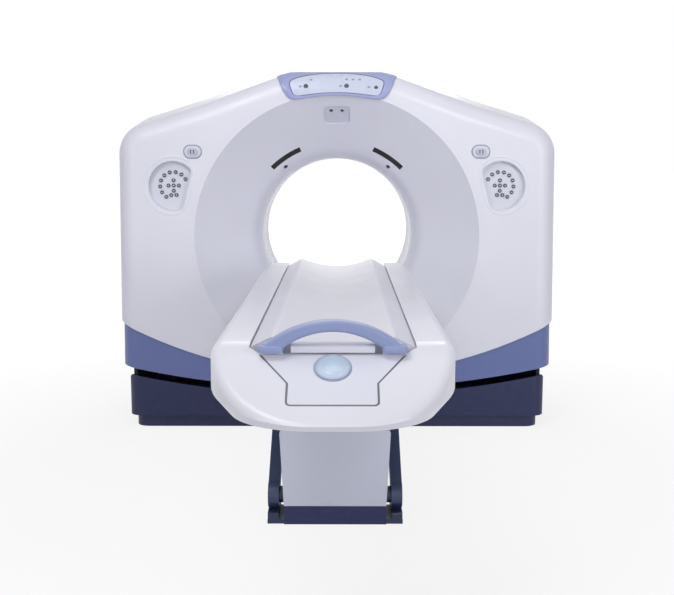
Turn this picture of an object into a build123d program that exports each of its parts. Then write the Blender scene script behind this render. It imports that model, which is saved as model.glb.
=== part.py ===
from build123d import *

import os
from math import cos, radians, sin, sqrt, tan

# CT scanner. The origin is on the floor under the isocentre, +Y points away from the table and +Z is up.

# Shared fits
running_gap = 0.3
upright_share = 0.017
overrun = 30.0

# Isocentre, bore and flares
iso_height = 865.0
bore_radius = 350.0
throat_depth = 110.0
flare_arc_radius = 160.0
flare_mouth_radius = 632.0
rear_throat_depth = 205.0
rear_arc_radius = 90.0
rear_mouth_radius = 540.0
window_wall = 4.0

# Gantry covers
gantry_half_width = 1016.0
gantry_foot_half_width = 1034.0
gantry_top = 1640.0
top_half_width = 225.0
shoulder_height = 1374.0
shoulder_radius = 190.0
slope_mid_x = 600.0
slope_dip = 12.0
slope_radius = 900.0
crown_radius = 200.0
hull_floor = 90.0
gantry_half_depth = 440.0
cover_wall = 10.0
cover_edge_radius = 85.0
cover_draft = 7.5
front_edge_height = 240.0
front_edge_radius = 2050.0
band_edge_height = 177.0
band_edge_radius = 4400.0
band_overlap = 30.0

# Display at the top of the front cover
bezel_low_half_width = 187.0
bezel_high_half_width = 308.0
bezel_depth = 95.0
bezel_rise = 10.0
bezel_frame = 22.0
panel_recess = 4.0
panel_wall = 5.0

# Breath light panel on the flare
breath_width = 116.0
breath_height = 100.0
breath_radius = 18.0
breath_centre_share = 0.61
breath_recess = 4.0
lamp_radius = 9.0
lamp_spacing = 48.0
lamp_height = 3.0
lamp_offset = 25.0

# Laser windows in the flare
laser_start = 46.0
laser_sweep = 21.0
laser_length = 31.0
laser_place_share = 0.1
laser_recess = 3.0

# Keypad pods and stop buttons on the front cover
pod_x = 722.0
pod_height = 1097.0
pod_radius = 111.0
pod_chord = 68.0
pod_lean = 14.3
pod_corner_radius = 22.0
pod_depth = 28.0
pod_wall = 4.0
key_radius = 8.5
key_rise = 4.0
key_ring_radius = 23.0
key_arc_radius = 60.0
key_arc_start = 28.0
key_arc_step = 26.0
key_arc_count = 9
key_pair_spacing = 12.0
key_pair_drop = 42.0
key_pad_count = 4
stop_x = 632.0
stop_height = 1245.0
stop_length = 72.0
stop_width = 50.0
stop_rise = 6.0
stop_button_length = 44.0
stop_button_width = 26.0
stop_button_rise = 10.0
stop_travel = 5.0
stop_floor = 4.0

# Tilt pedestals, trunnions and tilt drive
pedestal_side_room = 140.0
pedestal_thickness = 64.0
pedestal_half_depth = 44.0
bearing_radius = 105.0
trunnion_radius = 45.0
trunnion_reach = 24.0
pedestal_foot_half_depth = 170.0
pedestal_foot_width = 120.0
pedestal_foot_height = 24.0
gear_half_size = 100.0
gear_thickness = 62.0
tilt_motor_radius = 40.0
tilt_motor_length = 210.0

# Gantry base
base_side_inset = 71.0
base_half_depth = 438.0
base_wall = 8.0
base_gap = 30.0
base_corner_radius = 60.0
base_kick_height = 56.0
base_kick_inset = 25.0
tilt_clearance = 6.0
floor_plate_height = 18.0
anchor_radius = 10.0
anchor_head_radius = 20.0
anchor_head_height = 14.0
anchor_inset = 34.0
anchor_y = 130.0

# Tilt frame, main bearing and drive
frame_front = 110.0
frame_thickness = 40.0
frame_outer_radius = 655.0
frame_inner_radius = 470.0
frame_boss_gap = 12.0
frame_boss_length = 110.0
frame_boss_half_height = 120.0
frame_boss_front = 70.0
race_split_radius = 430.0
race_outer_radius = 500.0
race_inner_radius = 396.0
race_front = 52.0
race_back = 108.0
race_gap = 3.0
drum_front = 20.0
drum_outer_radius = 600.0
drum_inner_radius = 390.0
drum_groove = 6.0
belt_thickness = 5.0
belt_width = 24.0
pulley_radius = 60.0
pulley_angle = -50.0
pulley_distance = 735.0
motor_radius = 84.0
motor_length = 190.0
motor_shaft_radius = 16.0
slip_ring_inner_radius = 376.0
slip_ring_outer_radius = 424.0
slip_ring_back = 190.0
slip_groove = 3.0
slip_groove_count = 3
brush_width = 120.0
brush_outer_radius = 560.0
bracket_radius = 22.0
bracket_circle_radius = 610.0
bracket_angles = (35, 145, 200, 340)

# Pieces on the rotor
rotor_inner_radius = 428.0
tube_radius = 76.0
tube_centre_radius = 508.0
tube_cap_radius = 58.0
tube_cap_length = 26.0
tube_length = 190.0
port_half_width = 55.0
port_height = 18.0
collimator_half_width = 62.0
collimator_half_depth = 45.0
collimator_inner_radius = 372.0
scan_plane = -55.0
detector_inner_radius = 500.0
detector_outer_radius = 565.0
detector_half_angle = 34.0
detector_front = -125.0
tank_width = 145.0
tank_length = 230.0
tank_depth = 170.0
exchanger_width = 140.0
exchanger_length = 210.0
exchanger_depth = 150.0
exchanger_angle = 128.0
fin_count = 6
fin_depth = 22.0
electronics_angle = 180.0
electronics_length = 250.0
electronics_depth = 140.0
weight_inner_radius = 440.0
weight_outer_radius = 585.0
weight_start = 212.0
weight_sweep = 22.0
weight_depth = 90.0

# Table: lift
lift_pivot_y = -1585.0
lift_pivot_height = 85.0
arm_length = 800.0
table_pivot_height = 521.0
arm_half_depth = 34.0
arm_boss_radius = 44.0
outer_arm_inner_x = 190.0
arm_thickness = 37.0
arm_spacing = 13.0
pin_radius = 20.0
torque_tube_radius = 28.0
cross_tube_radius = 22.0
cross_tube_share = 0.25
roller_radius = 38.0
roller_width = 34.0
roller_side_gap = 3.0
track_wall = 6.0
track_end = 26.0
lift_low_share = 0.2075
lift_high_share = 0.795

# Table: base
table_base_front = -1640.0
table_plate_height = 14.0
table_plate_half_width = 228.0
foot_rail_length = 150.0
foot_rail_height = 38.0
kick_half_width = 172.0
kick_height = 64.0
kick_wall = 6.0
front_panel_top = 325.0
front_panel_high_half_width = 186.0
front_panel_wall = 6.0
front_panel_return = 16.0
front_panel_corner = 12.0
lift_gear_half_width = 80.0
lift_gear_half_size = 62.0
lift_motor_radius = 45.0
lift_motor_length = 190.0
duct_half_width = 110.0
duct_height = 26.0
duct_edge = 10.0

# Table: top
table_top = 770.0
table_half_width = 302.0
table_gantry_end = -550.0
table_foot_end = -2684.0
table_crease = -2455.0
table_crease_radius = 160.0
foot_slope = 32.0
nose_low = 610.0
keel_inset = 50.0
keel_foot_inset = 12.0
keel_flare = 40.0
keel_wall_share = 1.35
nose_ramp = -2350.0
table_under = 612.0
table_tip_under = 672.0
tip_start = -800.0
tip_ramp = -1120.0
foot_corner_radius = 250.0
gantry_corner_radius = 60.0
table_edge_radius = 26.0
table_wall = 10.0
channel_half_width = 206.0
channel_floor = 730.0
channel_end = -2482.0
channel_corner = 26.0
under_pan_wall = 5.0
under_pan_front = -2600.0
under_pan_back = -1720.0
chassis_plate = 12.0
chassis_front = -1690.0
hanger_half_length = 30.0

# Table: foot deck panel and domed disc
deck_wall = 6.0
deck_gap = 3.0
deck_half_width = 176.0
deck_tongue_half_width = 107.0
deck_start = 38.0
deck_taper = 134.0
deck_length = 206.0
deck_corner_radius = 10.0
disc_radius = 43.0
disc_place = 82.0
disc_rise = 7.0
disc_rim = 5.0

# Cradle
cradle_half_width = 203.0
cradle_foot_end = -2452.0
cradle_head_end = -585.0
cradle_under = 744.0
cradle_edge_top = 764.0
cradle_rim_half_width = 148.0
cradle_rim_top = 790.0
cradle_trough_top = 757.0
cradle_rim_radius = 22.0
cradle_tab_end = -2506.0
cradle_tab_under = 756.0
cradle_tab_top = 766.0
cradle_tab_half_width = 28.0
cradle_cap_length = 90.0
lip_gap = 22.0
lip_setback = 16.0
lip_top = 776.0
lip_radius = 9.0
runner_width = 18.0
runner_length = 450.0
cradle_tip_radius = 90.0
rail_half_spacing = 155.0
rail_width = 20.0
rail_height = 8.0
drive_roller_radius = 30.0
drive_roller_width = 50.0
drive_roller_y = -1000.0
drive_shaft_radius = 5.0
drive_shaft_length = 26.0
drive_case_half_width = 60.0
drive_case_half_length = 45.0
drive_case_under = 664.0
drive_motor_length = 110.0
drive_motor_radius = 22.0
handle_half_span = 150.0
handle_rise = 70.0
handle_bar_width = 44.0
handle_bar_height = 27.0
handle_pad_radius = 26.0
handle_pad_height = 13.0
handle_foot_length = 44.0
handle_edge_radius = 7.0

# Places that follow from the sizes above
frame_back = frame_front + frame_thickness
pedestal_outer_x = gantry_half_width - pedestal_side_room
pedestal_inner_x = pedestal_outer_x - pedestal_thickness
anchor_x = pedestal_inner_x + anchor_inset
frame_boss_outer_x = pedestal_inner_x - frame_boss_gap
frame_boss_inner_x = frame_boss_outer_x - frame_boss_length
base_half_width = gantry_half_width - base_side_inset
outer_arm_outer_x = outer_arm_inner_x + arm_thickness
inner_arm_outer_x = outer_arm_inner_x - arm_spacing
inner_arm_inner_x = inner_arm_outer_x - arm_thickness
lift_rise = table_pivot_height - lift_pivot_height
lift_run = sqrt(arm_length**2 - lift_rise**2)
arm_far_y = lift_pivot_y + lift_run
lift_reach_low = sqrt(arm_length**2 - (arm_length * lift_low_share) ** 2)
lift_reach_high = sqrt(arm_length**2 - (arm_length * lift_high_share) ** 2)
track_back = lift_pivot_y + lift_reach_low + roller_radius + running_gap
track_front = lift_pivot_y + lift_reach_high - roller_radius - track_end
pulley_x = pulley_distance * cos(radians(pulley_angle))
pulley_z = iso_height + pulley_distance * sin(radians(pulley_angle))
belt_inner_radius = drum_outer_radius + running_gap
belt_pulley_radius = pulley_radius + running_gap
upper_track_xs = (outer_arm_outer_x + roller_side_gap, outer_arm_outer_x + roller_width + 2 * roller_side_gap)
lower_track_xs = (inner_arm_inner_x - roller_width - 2 * roller_side_gap, inner_arm_inner_x - roller_side_gap)


# Solids in the scanner's own axes


def block(xs, ys, zs):
    """Box between two bounds on each axis."""
    corner = Align.MIN
    size = Box(xs[1] - xs[0], ys[1] - ys[0], zs[1] - zs[0], align=(corner, corner, corner))
    return Pos(xs[0], ys[0], zs[0]) * size


def rod_x(y, z, xs, radius):
    """Cylinder along X between two bounds."""
    rod = Cylinder(radius, xs[1] - xs[0], align=(Align.CENTER, Align.CENTER, Align.MIN))
    return Pos(xs[0], y, z) * Rot(0, 90, 0) * rod


def rod_y(x, z, ys, radius):
    """Cylinder along Y between two bounds."""
    rod = Cylinder(radius, ys[1] - ys[0], align=(Align.CENTER, Align.CENTER, Align.MIN))
    return Pos(x, ys[0], z) * Rot(-90, 0, 0) * rod


def rod_z(x, y, zs, radius):
    """Cylinder along Z between two bounds."""
    rod = Cylinder(radius, zs[1] - zs[0], align=(Align.CENTER, Align.CENTER, Align.MIN))
    return Pos(x, y, zs[0]) * rod


def ring(ys, inner, outer):
    """Ring about the rotation axis of the gantry."""
    return rod_y(0, iso_height, ys, outer) - rod_y(0, iso_height, ys, inner)


def prism_y(sketch, ys):
    """Sketch drawn in X and Z, extruded along Y."""
    return Pos(0, ys[0], 0) * extrude(Plane.XZ * sketch, ys[1] - ys[0], dir=(0, 1, 0))


def prism_x(sketch, xs):
    """Sketch drawn in Y and Z, extruded along X."""
    return Pos(xs[0], 0, 0) * extrude(Plane.YZ * sketch, xs[1] - xs[0])


def prism_z(sketch, zs):
    """Sketch drawn in X and Y, extruded along Z."""
    return Pos(0, 0, zs[0]) * extrude(sketch, zs[1] - zs[0])


def polygon(points):
    return make_face(Polyline(*points, close=True))


def both_sides(shape):
    """The shape and its mirror image across the middle plane."""
    return shape + mirror(shape, about=Plane.YZ)


def sector(ys, inner, outer, start, sweep):
    """Part of a ring about the rotation axis, from a start angle above +X."""
    far = outer / cos(radians(sweep / 2))
    wedge = polygon(
        [
            (0, 0),
            (far * cos(radians(start)), far * sin(radians(start))),
            (
                outer * 2 * cos(radians(start + sweep / 2)),
                outer * 2 * sin(radians(start + sweep / 2)),
            ),
            (far * cos(radians(start + sweep)), far * sin(radians(start + sweep))),
        ]
    )
    return ring(ys, inner, outer) & prism_y(Pos(0, iso_height) * wedge, ys)


# Gantry covers


def gantry_outline(inset):
    """Front view of the gantry at its middle plane, with sloped shoulders."""
    along = (slope_mid_x - top_half_width) / (gantry_half_width - top_half_width)
    slope_mid = gantry_top - along * (gantry_top - shoulder_height) - slope_dip
    right = [
        (top_half_width, gantry_top),
        (slope_mid_x, slope_mid),
        (gantry_half_width, shoulder_height),
        (gantry_foot_half_width, hull_floor),
    ]
    left = [(-x, z) for x, z in reversed(right)]
    face = polygon(right + left)
    for height, radius in (
        (gantry_top, crown_radius),
        (slope_mid, slope_radius),
        (shoulder_height, shoulder_radius),
    ):
        corners = [corner for corner in face.vertices() if abs(corner.Y - height) < running_gap]
        face = fillet(corners, radius)
    return offset(face, -inset, kind=Kind.INTERSECTION) if inset else face


def hull_block(inset):
    """Front half of the gantry body, drafted from the middle plane, and the edges around its front."""
    body = extrude(Plane.XZ * gantry_outline(inset), gantry_half_depth - inset, taper=cover_draft)
    front = body.faces().sort_by(Axis.Y)[0]
    return body, front.edges().sort_by(Axis.Z)[1:]


def hull(inset):
    """Front half of the gantry body, rounded at the front."""
    return fillet(hull_block(inset)[1], cover_edge_radius - inset)


def hollow(inset):
    """Room inside the front half of the gantry body, with plain bevels where the outside is round."""
    return chamfer(hull_block(inset)[1], cover_edge_radius - inset)


def bowl(height, radius):
    """All that lies above a wide arc, seen from the front."""
    deep = gantry_half_depth + overrun
    return rod_y(0, height + radius, (-deep, deep), radius)


def flare_points(throat, arc_radius, mouth_radius):
    """Throat, tangent point and mouth of a flare, as radius and depth."""
    centre = Vector(bore_radius + arc_radius, throat)
    mouth = Vector(mouth_radius, gantry_half_depth)
    across = mouth - centre
    distance = across.length
    reach = sqrt(distance**2 - arc_radius**2)
    side = Vector(-across.Y, across.X)
    touch = centre + across * (arc_radius / distance) ** 2 + side * (arc_radius * reach / distance**2)
    return centre, touch, mouth


def flare_profile(throat, arc_radius, mouth_radius, wall):
    """Section of a flare down to the axis: its open space, or the same with a wall around it."""
    centre, touch, mouth = flare_points(throat, arc_radius, mouth_radius)
    radius = arc_radius - wall
    along = (mouth - touch).normalized()
    start = Vector(bore_radius + wall, throat)
    end = centre + (touch - centre).normalized() * radius
    middle = centre + ((start - centre) + (end - centre)).normalized() * radius
    out = end + along * ((gantry_half_depth + overrun - end.Y) / along.Y)
    edges = [
        Polyline((0, throat), start),
        ThreePointArc(start, middle, end),
        Line(end, out),
        Polyline(out, (0, out.Y), (0, throat)),
    ]
    return make_face(Curve() + edges)


def turned(profile, side):
    """Profile of radius and depth turned about the rotation axis, to the front (1) or the back (-1)."""
    body = revolve(Plane.XZ * profile, Axis.Z)
    return Pos(0, 0, iso_height) * Rot(side * 90, 0, 0) * body


def quarters(shape):
    """Ring about the rotation axis in four moulded quarters, which meet on the diagonals."""
    reach = gantry_half_width + gantry_top
    deep = gantry_half_depth + overrun
    wedge = prism_y(polygon([(0, 0), (reach, -reach), (reach, reach)]), (-deep, deep))
    turns = range(0, 360, 90)
    return Compound(children=[shape & (Pos(0, 0, iso_height) * Rot(0, turn, 0) * wedge) for turn in turns])


front_flare = (throat_depth, flare_arc_radius, flare_mouth_radius)
rear_flare = (rear_throat_depth, rear_arc_radius, rear_mouth_radius)


def flare_plane(share):
    """Plane on the cone of the front flare at the top, facing the open side."""
    _, touch, mouth = flare_points(*front_flare)
    along = (mouth - touch).normalized()
    place = touch + (mouth - touch) * share
    facing = (0, -along.X, -along.Y)
    return Plane((0, -place.Y, iso_height + place.X), x_dir=(1, 0, 0), z_dir=facing)


def bezel_face(inset):
    """Front view of the display: it follows the mouth of the flare below and widens upwards."""
    low = iso_height + sqrt((flare_mouth_radius + bezel_rise) ** 2 - bezel_low_half_width**2)
    crest = iso_height + flare_mouth_radius + bezel_rise
    high = gantry_top + overrun
    edges = [
        ThreePointArc((-bezel_low_half_width, low), (0, crest), (bezel_low_half_width, low)),
        Line((bezel_low_half_width, low), (bezel_high_half_width, high)),
        Line((bezel_high_half_width, high), (-bezel_high_half_width, high)),
        Line((-bezel_high_half_width, high), (-bezel_low_half_width, low)),
    ]
    face = make_face(Curve() + edges)
    return offset(face, -inset, kind=Kind.INTERSECTION) if inset else face


def panel_face(inset):
    """Front view of the display panel inside its bezel."""
    top_limit = gantry_top - cover_edge_radius / 2
    wide = bezel_high_half_width + overrun
    limit = polygon([(-wide, iso_height), (wide, iso_height), (wide, top_limit), (-wide, top_limit)])
    face = bezel_face(bezel_frame) & limit
    return offset(face, -inset, kind=Kind.INTERSECTION) if inset else face


display_ys = (-gantry_half_depth - overrun, bezel_depth - gantry_half_depth)


def breath_face(inset):
    return RectangleRounded(breath_width - 2 * inset, breath_height - 2 * inset, breath_radius)


def breath_block(inset, front, back):
    """Rounded plate on the flare, from a height above the cone to a depth below it."""
    plane = flare_plane(breath_centre_share)
    return extrude(plane.offset(-back) * breath_face(inset), front + back)


def laser_block(inset, front, back):
    """Curved bar along the flare, from a height above the cone to a depth below it."""
    _, touch, mouth = flare_points(*front_flare)
    along = (mouth - touch).normalized()
    inward = Vector(-along.Y, along.X)
    place = touch + (mouth - touch) * laser_place_share
    half = along * (laser_length / 2 - inset)
    corners = [
        place - half + inward * front,
        place + half + inward * front,
        place + half - inward * back,
        place - half - inward * back,
    ]
    section = polygon([(corner.X, corner.Y) for corner in corners])
    bar = revolve(Plane.XZ * section, Axis.Z, laser_sweep)
    start = Pos(0, 0, iso_height) * Rot(0, -laser_start, 0) * Rot(90, 0, 0)
    return start * bar


def pod_face(inset):
    """Front view of a keypad pod: a disc with one straight side."""
    reach = 2 * pod_radius
    trim = Rot(0, 0, -pod_lean) * Pos(pod_chord - reach, 0) * Rectangle(2 * reach, 2 * reach)
    face = Circle(pod_radius) & trim
    face = fillet(face.vertices(), pod_corner_radius)
    face = offset(face, -inset, kind=Kind.INTERSECTION) if inset else face
    return Pos(-pod_x, pod_height) * face


def stop_face(length, width):
    return Pos(-stop_x, stop_height) * SlotOverall(length, width)


front_skin = (-gantry_half_depth - overrun, overrun - gantry_half_depth)


def front_openings():
    """Everything cut through the front cover."""
    cuts = both_sides(prism_y(pod_face(0), front_skin))
    cuts += both_sides(prism_y(stop_face(stop_length, stop_width), front_skin))
    return cuts + prism_y(bezel_face(0), display_ys)


def flare_openings():
    """Everything cut through the front flare."""
    cuts = breath_block(0, overrun, overrun)
    return cuts + both_sides(laser_block(0, overrun, overrun))


body_hull = hull(0)
inner_hull = hull(cover_wall)
band_hull = hull(cover_wall + running_gap)
band_inner_hull = hollow(cover_wall + running_gap + cover_wall)
rear_body_hull = mirror(body_hull, about=Plane.XZ)
rear_inner_hull = mirror(inner_hull, about=Plane.XZ)


def front_cover():
    """Front shell around the flare, with the seats of what is let into it."""
    shell = (body_hull - inner_hull) & bowl(front_edge_height, front_edge_radius)
    return shell - turned(flare_profile(*front_flare, cover_wall + running_gap), 1) - front_openings()


def front_flare_ring():
    """Funnel from the front of the gantry to the scan window."""
    flare = turned(flare_profile(*front_flare, cover_wall), 1)
    flare &= body_hull & bowl(front_edge_height, front_edge_radius)
    return quarters(flare - turned(flare_profile(*front_flare, 0), 1) - flare_openings())


def rear_cover():
    """Rear shell around its smaller flare."""
    shell = (rear_body_hull - rear_inner_hull) & bowl(front_edge_height, front_edge_radius)
    return shell - turned(flare_profile(*rear_flare, cover_wall + running_gap), -1)


def rear_flare_ring():
    """Rear funnel with a sleeve to the scan window."""
    flare = turned(flare_profile(*rear_flare, cover_wall), -1) & rear_body_hull
    sleeve = ring((throat_depth, rear_throat_depth), bore_radius, bore_radius + cover_wall)
    return quarters(flare - turned(flare_profile(*rear_flare, 0), -1) + sleeve)


def lower_front_cover():
    """Blue band under the front cover, tucked behind its lower edge."""
    band = (band_hull - band_inner_hull) & bowl(band_edge_height, band_edge_radius)
    band -= bowl(front_edge_height + band_overlap, front_edge_radius)
    return band - turned(flare_profile(*front_flare, cover_wall + running_gap), 1)


def lower_rear_cover():
    band = (band_hull - band_inner_hull) & bowl(band_edge_height, band_edge_radius)
    band -= bowl(front_edge_height + band_overlap, front_edge_radius)
    return mirror(band, about=Plane.XZ)


def scan_window():
    """Thin clear ring between the two flares."""
    return quarters(ring((-throat_depth, throat_depth), bore_radius, bore_radius + window_wall))


def display_bezel():
    block_shape = body_hull & prism_y(bezel_face(running_gap), display_ys)
    block_shape -= turned(flare_profile(*front_flare, cover_wall + running_gap), 1)
    recess = body_hull - hull(panel_recess + panel_wall)
    return block_shape - (recess & prism_y(panel_face(0), display_ys))


def display_panel():
    plate = hull(panel_recess) - hull(panel_recess + panel_wall)
    return plate & prism_y(panel_face(running_gap), display_ys)


def breath_light_panel():
    """Recessed plate with two lamps above the bore."""
    plate = breath_block(running_gap, -breath_recess, cover_wall)
    plane = flare_plane(breath_centre_share)
    spots = [Pos(side * lamp_spacing / 2, lamp_offset) for side in (-1, 1)]
    seat = plane.offset(-breath_recess)
    return plate + [extrude(seat * spot * Circle(lamp_radius), lamp_height) for spot in spots]


def laser_windows():
    return both_sides(laser_block(running_gap, -laser_recess, cover_wall))


def control_pods():
    """Dished trays for the keys."""
    back = pod_depth - gantry_half_depth
    tray = prism_y(pod_face(running_gap), (-gantry_half_depth, back))
    tray -= prism_y(pod_face(running_gap + pod_wall), (-gantry_half_depth - overrun, back - pod_wall))
    return both_sides(tray)


def control_keys():
    """Flat keys: a pad of four with one in the middle, an arc around them and a pair below."""
    floor = pod_depth - pod_wall - gantry_half_depth
    ys = (floor - key_rise, floor)
    places = [(0, 0), (-key_pair_spacing, -key_pair_drop), (key_pair_spacing, -key_pair_drop)]
    for step in range(key_pad_count):
        angle = radians(step * 360 / key_pad_count)
        places.append((key_ring_radius * cos(angle), key_ring_radius * sin(angle)))
    for step in range(key_arc_count):
        angle = radians(key_arc_start + step * key_arc_step)
        places.append((key_arc_radius * cos(angle), key_arc_radius * sin(angle)))
    keys = [rod_y(x - pod_x, z + pod_height, ys, key_radius) for x, z in places]
    return both_sides(Part() + keys)


def stop_bezels():
    """Oval seats of the stop buttons."""
    back = cover_wall - gantry_half_depth
    front = -gantry_half_depth - stop_rise
    seat = prism_y(stop_face(stop_length - 2 * running_gap, stop_width - 2 * running_gap), (front, back))
    well = stop_face(stop_button_length + 2 * running_gap, stop_button_width + 2 * running_gap)
    return both_sides(seat - prism_y(well, (front - overrun, back - stop_floor)))


def stop_button(side):
    """Push button that can move in by its travel."""
    floor = cover_wall - gantry_half_depth - stop_floor - stop_travel - running_gap
    front = -gantry_half_depth - stop_rise - stop_button_rise
    button = prism_y(stop_face(stop_button_length, stop_button_width), (front, floor))
    return button if side < 0 else mirror(button, about=Plane.YZ)


# Gantry base and tilt


def base_cover(side):
    """Half of the base skirt: a thin wall with a kick recess, under the sweep of the gantry."""
    low_width = base_half_width - base_kick_inset
    low_depth = base_half_depth - base_kick_inset
    kick = (0, base_kick_height)
    tall = (base_kick_height, gantry_half_width)

    def wall_block(width, depth, zs, inset):
        size = RectangleRounded(2 * (width - inset), 2 * (depth - inset), base_corner_radius - inset)
        return prism_z(size, zs)

    upper = wall_block(base_half_width, base_half_depth, tall, 0)
    upper -= wall_block(base_half_width, base_half_depth, tall, base_wall)
    lower = wall_block(low_width, low_depth, kick, 0) - wall_block(low_width, low_depth, kick, base_wall)
    ledge_zs = (base_kick_height, base_kick_height + base_wall)
    ledge = wall_block(base_half_width, base_half_depth, ledge_zs, 0)
    ledge -= wall_block(low_width, low_depth, ledge_zs, base_wall)
    skirt = upper + lower + ledge
    skirt -= bowl(band_edge_height - base_gap, band_edge_radius)
    wide = base_half_width + overrun
    flank = base_half_width - base_corner_radius
    edge_rise = band_edge_radius - sqrt(band_edge_radius**2 - flank**2)
    drop = iso_height - band_edge_height - edge_rise
    sweep = sqrt(gantry_half_depth**2 + drop**2) + tilt_clearance
    skirt -= both_sides(rod_x(0, iso_height, (flank, wide), sweep))
    half = (0, base_half_depth + overrun) if side > 0 else (-base_half_depth - overrun, 0)
    return skirt & block((-wide, wide), half, (0, gantry_half_width))


def gantry_floor_plate():
    """Steel plate on the floor that carries the pedestals."""
    half_width = base_half_width - base_kick_inset - base_wall
    half_depth = base_half_depth - base_kick_inset - base_wall
    plate = RectangleRounded(2 * half_width, 2 * half_depth, base_corner_radius - base_wall)
    holes = [Pos(x, y) * Circle(anchor_radius + running_gap) for x, y in anchor_places()]
    return prism_z(plate - holes, (0, floor_plate_height))


def anchor_places():
    return [(x, y) for x in (-anchor_x, anchor_x) for y in (-anchor_y, anchor_y)]


def tilt_pedestal(side):
    """Narrow post with a bearing housing, so that the covers can swing around it."""
    xs = (pedestal_inner_x, pedestal_outer_x)
    foot_middle = (pedestal_inner_x + pedestal_outer_x) / 2
    foot_top = floor_plate_height + pedestal_foot_height
    limit = base_half_width - base_kick_inset - base_wall
    foot_xs = (foot_middle - pedestal_foot_width / 2, min(foot_middle + pedestal_foot_width / 2, limit))
    foot_ys = (-pedestal_foot_half_depth, pedestal_foot_half_depth)
    post = block(xs, (-pedestal_half_depth, pedestal_half_depth), (floor_plate_height, iso_height))
    post += rod_x(0, iso_height, xs, bearing_radius)
    post += block(foot_xs, foot_ys, (floor_plate_height, foot_top))
    post -= rod_x(0, iso_height, (xs[0] - overrun, xs[1] + overrun), trunnion_radius + running_gap)
    for x, y in anchor_places():
        post -= rod_z(abs(x), y, (0, foot_top + overrun), anchor_radius + running_gap)
    return post if side > 0 else mirror(post, about=Plane.YZ)


def anchor_bolts():
    """Floor bolts through the pedestal feet."""
    top = floor_plate_height + pedestal_foot_height
    bolts = Part()
    for x, y in anchor_places():
        bolts += rod_z(x, y, (0, top), anchor_radius)
        bolts += rod_z(x, y, (top, top + anchor_head_height), anchor_head_radius)
    return bolts


def tilt_gearmotor():
    """Closed worm gear unit on the right trunnion, with its motor hanging beside the post."""
    xs = (pedestal_outer_x, pedestal_outer_x + gear_thickness)
    span = (-gear_half_size, gear_half_size)
    case = block(xs, span, (iso_height - gear_half_size, iso_height + gear_half_size))
    case = fillet(case.edges().filter_by(Axis.X), gear_half_size / 2)
    motor_x = (xs[0] + xs[1]) / 2
    low = iso_height - gear_half_size - tilt_motor_length
    case += rod_z(motor_x, 0, (low, iso_height), min(tilt_motor_radius, gear_thickness / 2))
    return case - rod_x(0, iso_height, (xs[0] - overrun, xs[1]), trunnion_radius + running_gap)


def trunnion_shafts():
    """Stub shafts of the tilt frame in the pedestal bearings."""
    reach = pedestal_outer_x + trunnion_reach
    shaft = rod_x(0, iso_height, (frame_boss_outer_x, reach), trunnion_radius)
    return both_sides(shaft)


def tilt_frame():
    """Ring plate that carries the main bearing, with side bosses for the trunnions."""
    frame = ring((frame_front, frame_back), frame_inner_radius, frame_outer_radius)
    boss_zs = (iso_height - frame_boss_half_height, iso_height + frame_boss_half_height)
    boss = block((frame_boss_inner_x, frame_boss_outer_x), (-frame_boss_front, frame_back), boss_zs)
    root_x = frame_inner_radius + 2 * bracket_radius
    lug = block((root_x, frame_boss_outer_x), (frame_front, frame_back), boss_zs)
    return frame + both_sides(boss + lug)


def cover_brackets():
    """Posts between the tilt frame and the rear cover."""
    ys = (frame_back, gantry_half_depth - cover_wall)
    posts = Part()
    for angle in bracket_angles:
        x = bracket_circle_radius * cos(radians(angle))
        z = iso_height + bracket_circle_radius * sin(radians(angle))
        posts += rod_y(x, z, ys, bracket_radius)
    return posts


def main_bearing_outer():
    ys = (race_front + race_gap, frame_front)
    return ring(ys, race_split_radius + running_gap, race_outer_radius)


def main_bearing_inner():
    return ring((race_front, race_back), race_inner_radius, race_split_radius)


# Rotor


def rotor_drum():
    """Rotating plate with a belt groove in its rim."""
    plate = ring((drum_front, race_front), drum_inner_radius, drum_outer_radius + drum_groove)
    middle = (drum_front + race_front) / 2
    ys = (middle - belt_width / 2 - running_gap, middle + belt_width / 2 + running_gap)
    return plate - ring(ys, drum_outer_radius, drum_outer_radius + overrun)


def slip_ring():
    """Drum of contact tracks behind the bearing."""
    body = ring((race_back, slip_ring_back), slip_ring_inner_radius, slip_ring_outer_radius)
    pitch = (slip_ring_back - frame_back) / slip_groove_count
    for step in range(slip_groove_count):
        start = frame_back + step * pitch
        ys = (start, start + slip_groove)
        body -= ring(ys, slip_ring_outer_radius - slip_groove, slip_ring_outer_radius + overrun)
    return body


def brush_block():
    """Brush carrier that reaches down to the slip ring."""
    xs = (-brush_width / 2, brush_width / 2)
    zs = (iso_height, iso_height + brush_outer_radius)
    body = block(xs, (frame_back, slip_ring_back), zs)
    return body - rod_y(0, iso_height, (0, gantry_half_depth), slip_ring_outer_radius + running_gap)


def on_rotor(shape, angle):
    """Turn a piece made on the +X side of the rotor to another angle."""
    return Pos(0, 0, iso_height) * Rot(0, -angle, 0) * shape


def xray_tube():
    """Tube housing along the rotation axis, with end caps and a flat port below."""
    back = drum_front
    front = back - tube_length
    middle = iso_height + tube_centre_radius
    port_low = middle - tube_radius - port_height
    body = rod_y(0, middle, (front, back), tube_radius)
    body += rod_y(0, middle, (front - tube_cap_length, front), tube_cap_radius)
    ys = (scan_plane - collimator_half_depth, scan_plane + collimator_half_depth)
    return body + block((-port_half_width, port_half_width), ys, (port_low, middle - tube_radius / 2))


def collimator():
    """Beam limiting box between the tube port and the scan window."""
    high = iso_height + tube_centre_radius - tube_radius - port_height
    ys = (scan_plane - collimator_half_depth, scan_plane + collimator_half_depth)
    xs = (-collimator_half_width, collimator_half_width)
    return block(xs, ys, (iso_height + collimator_inner_radius, high))


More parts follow.
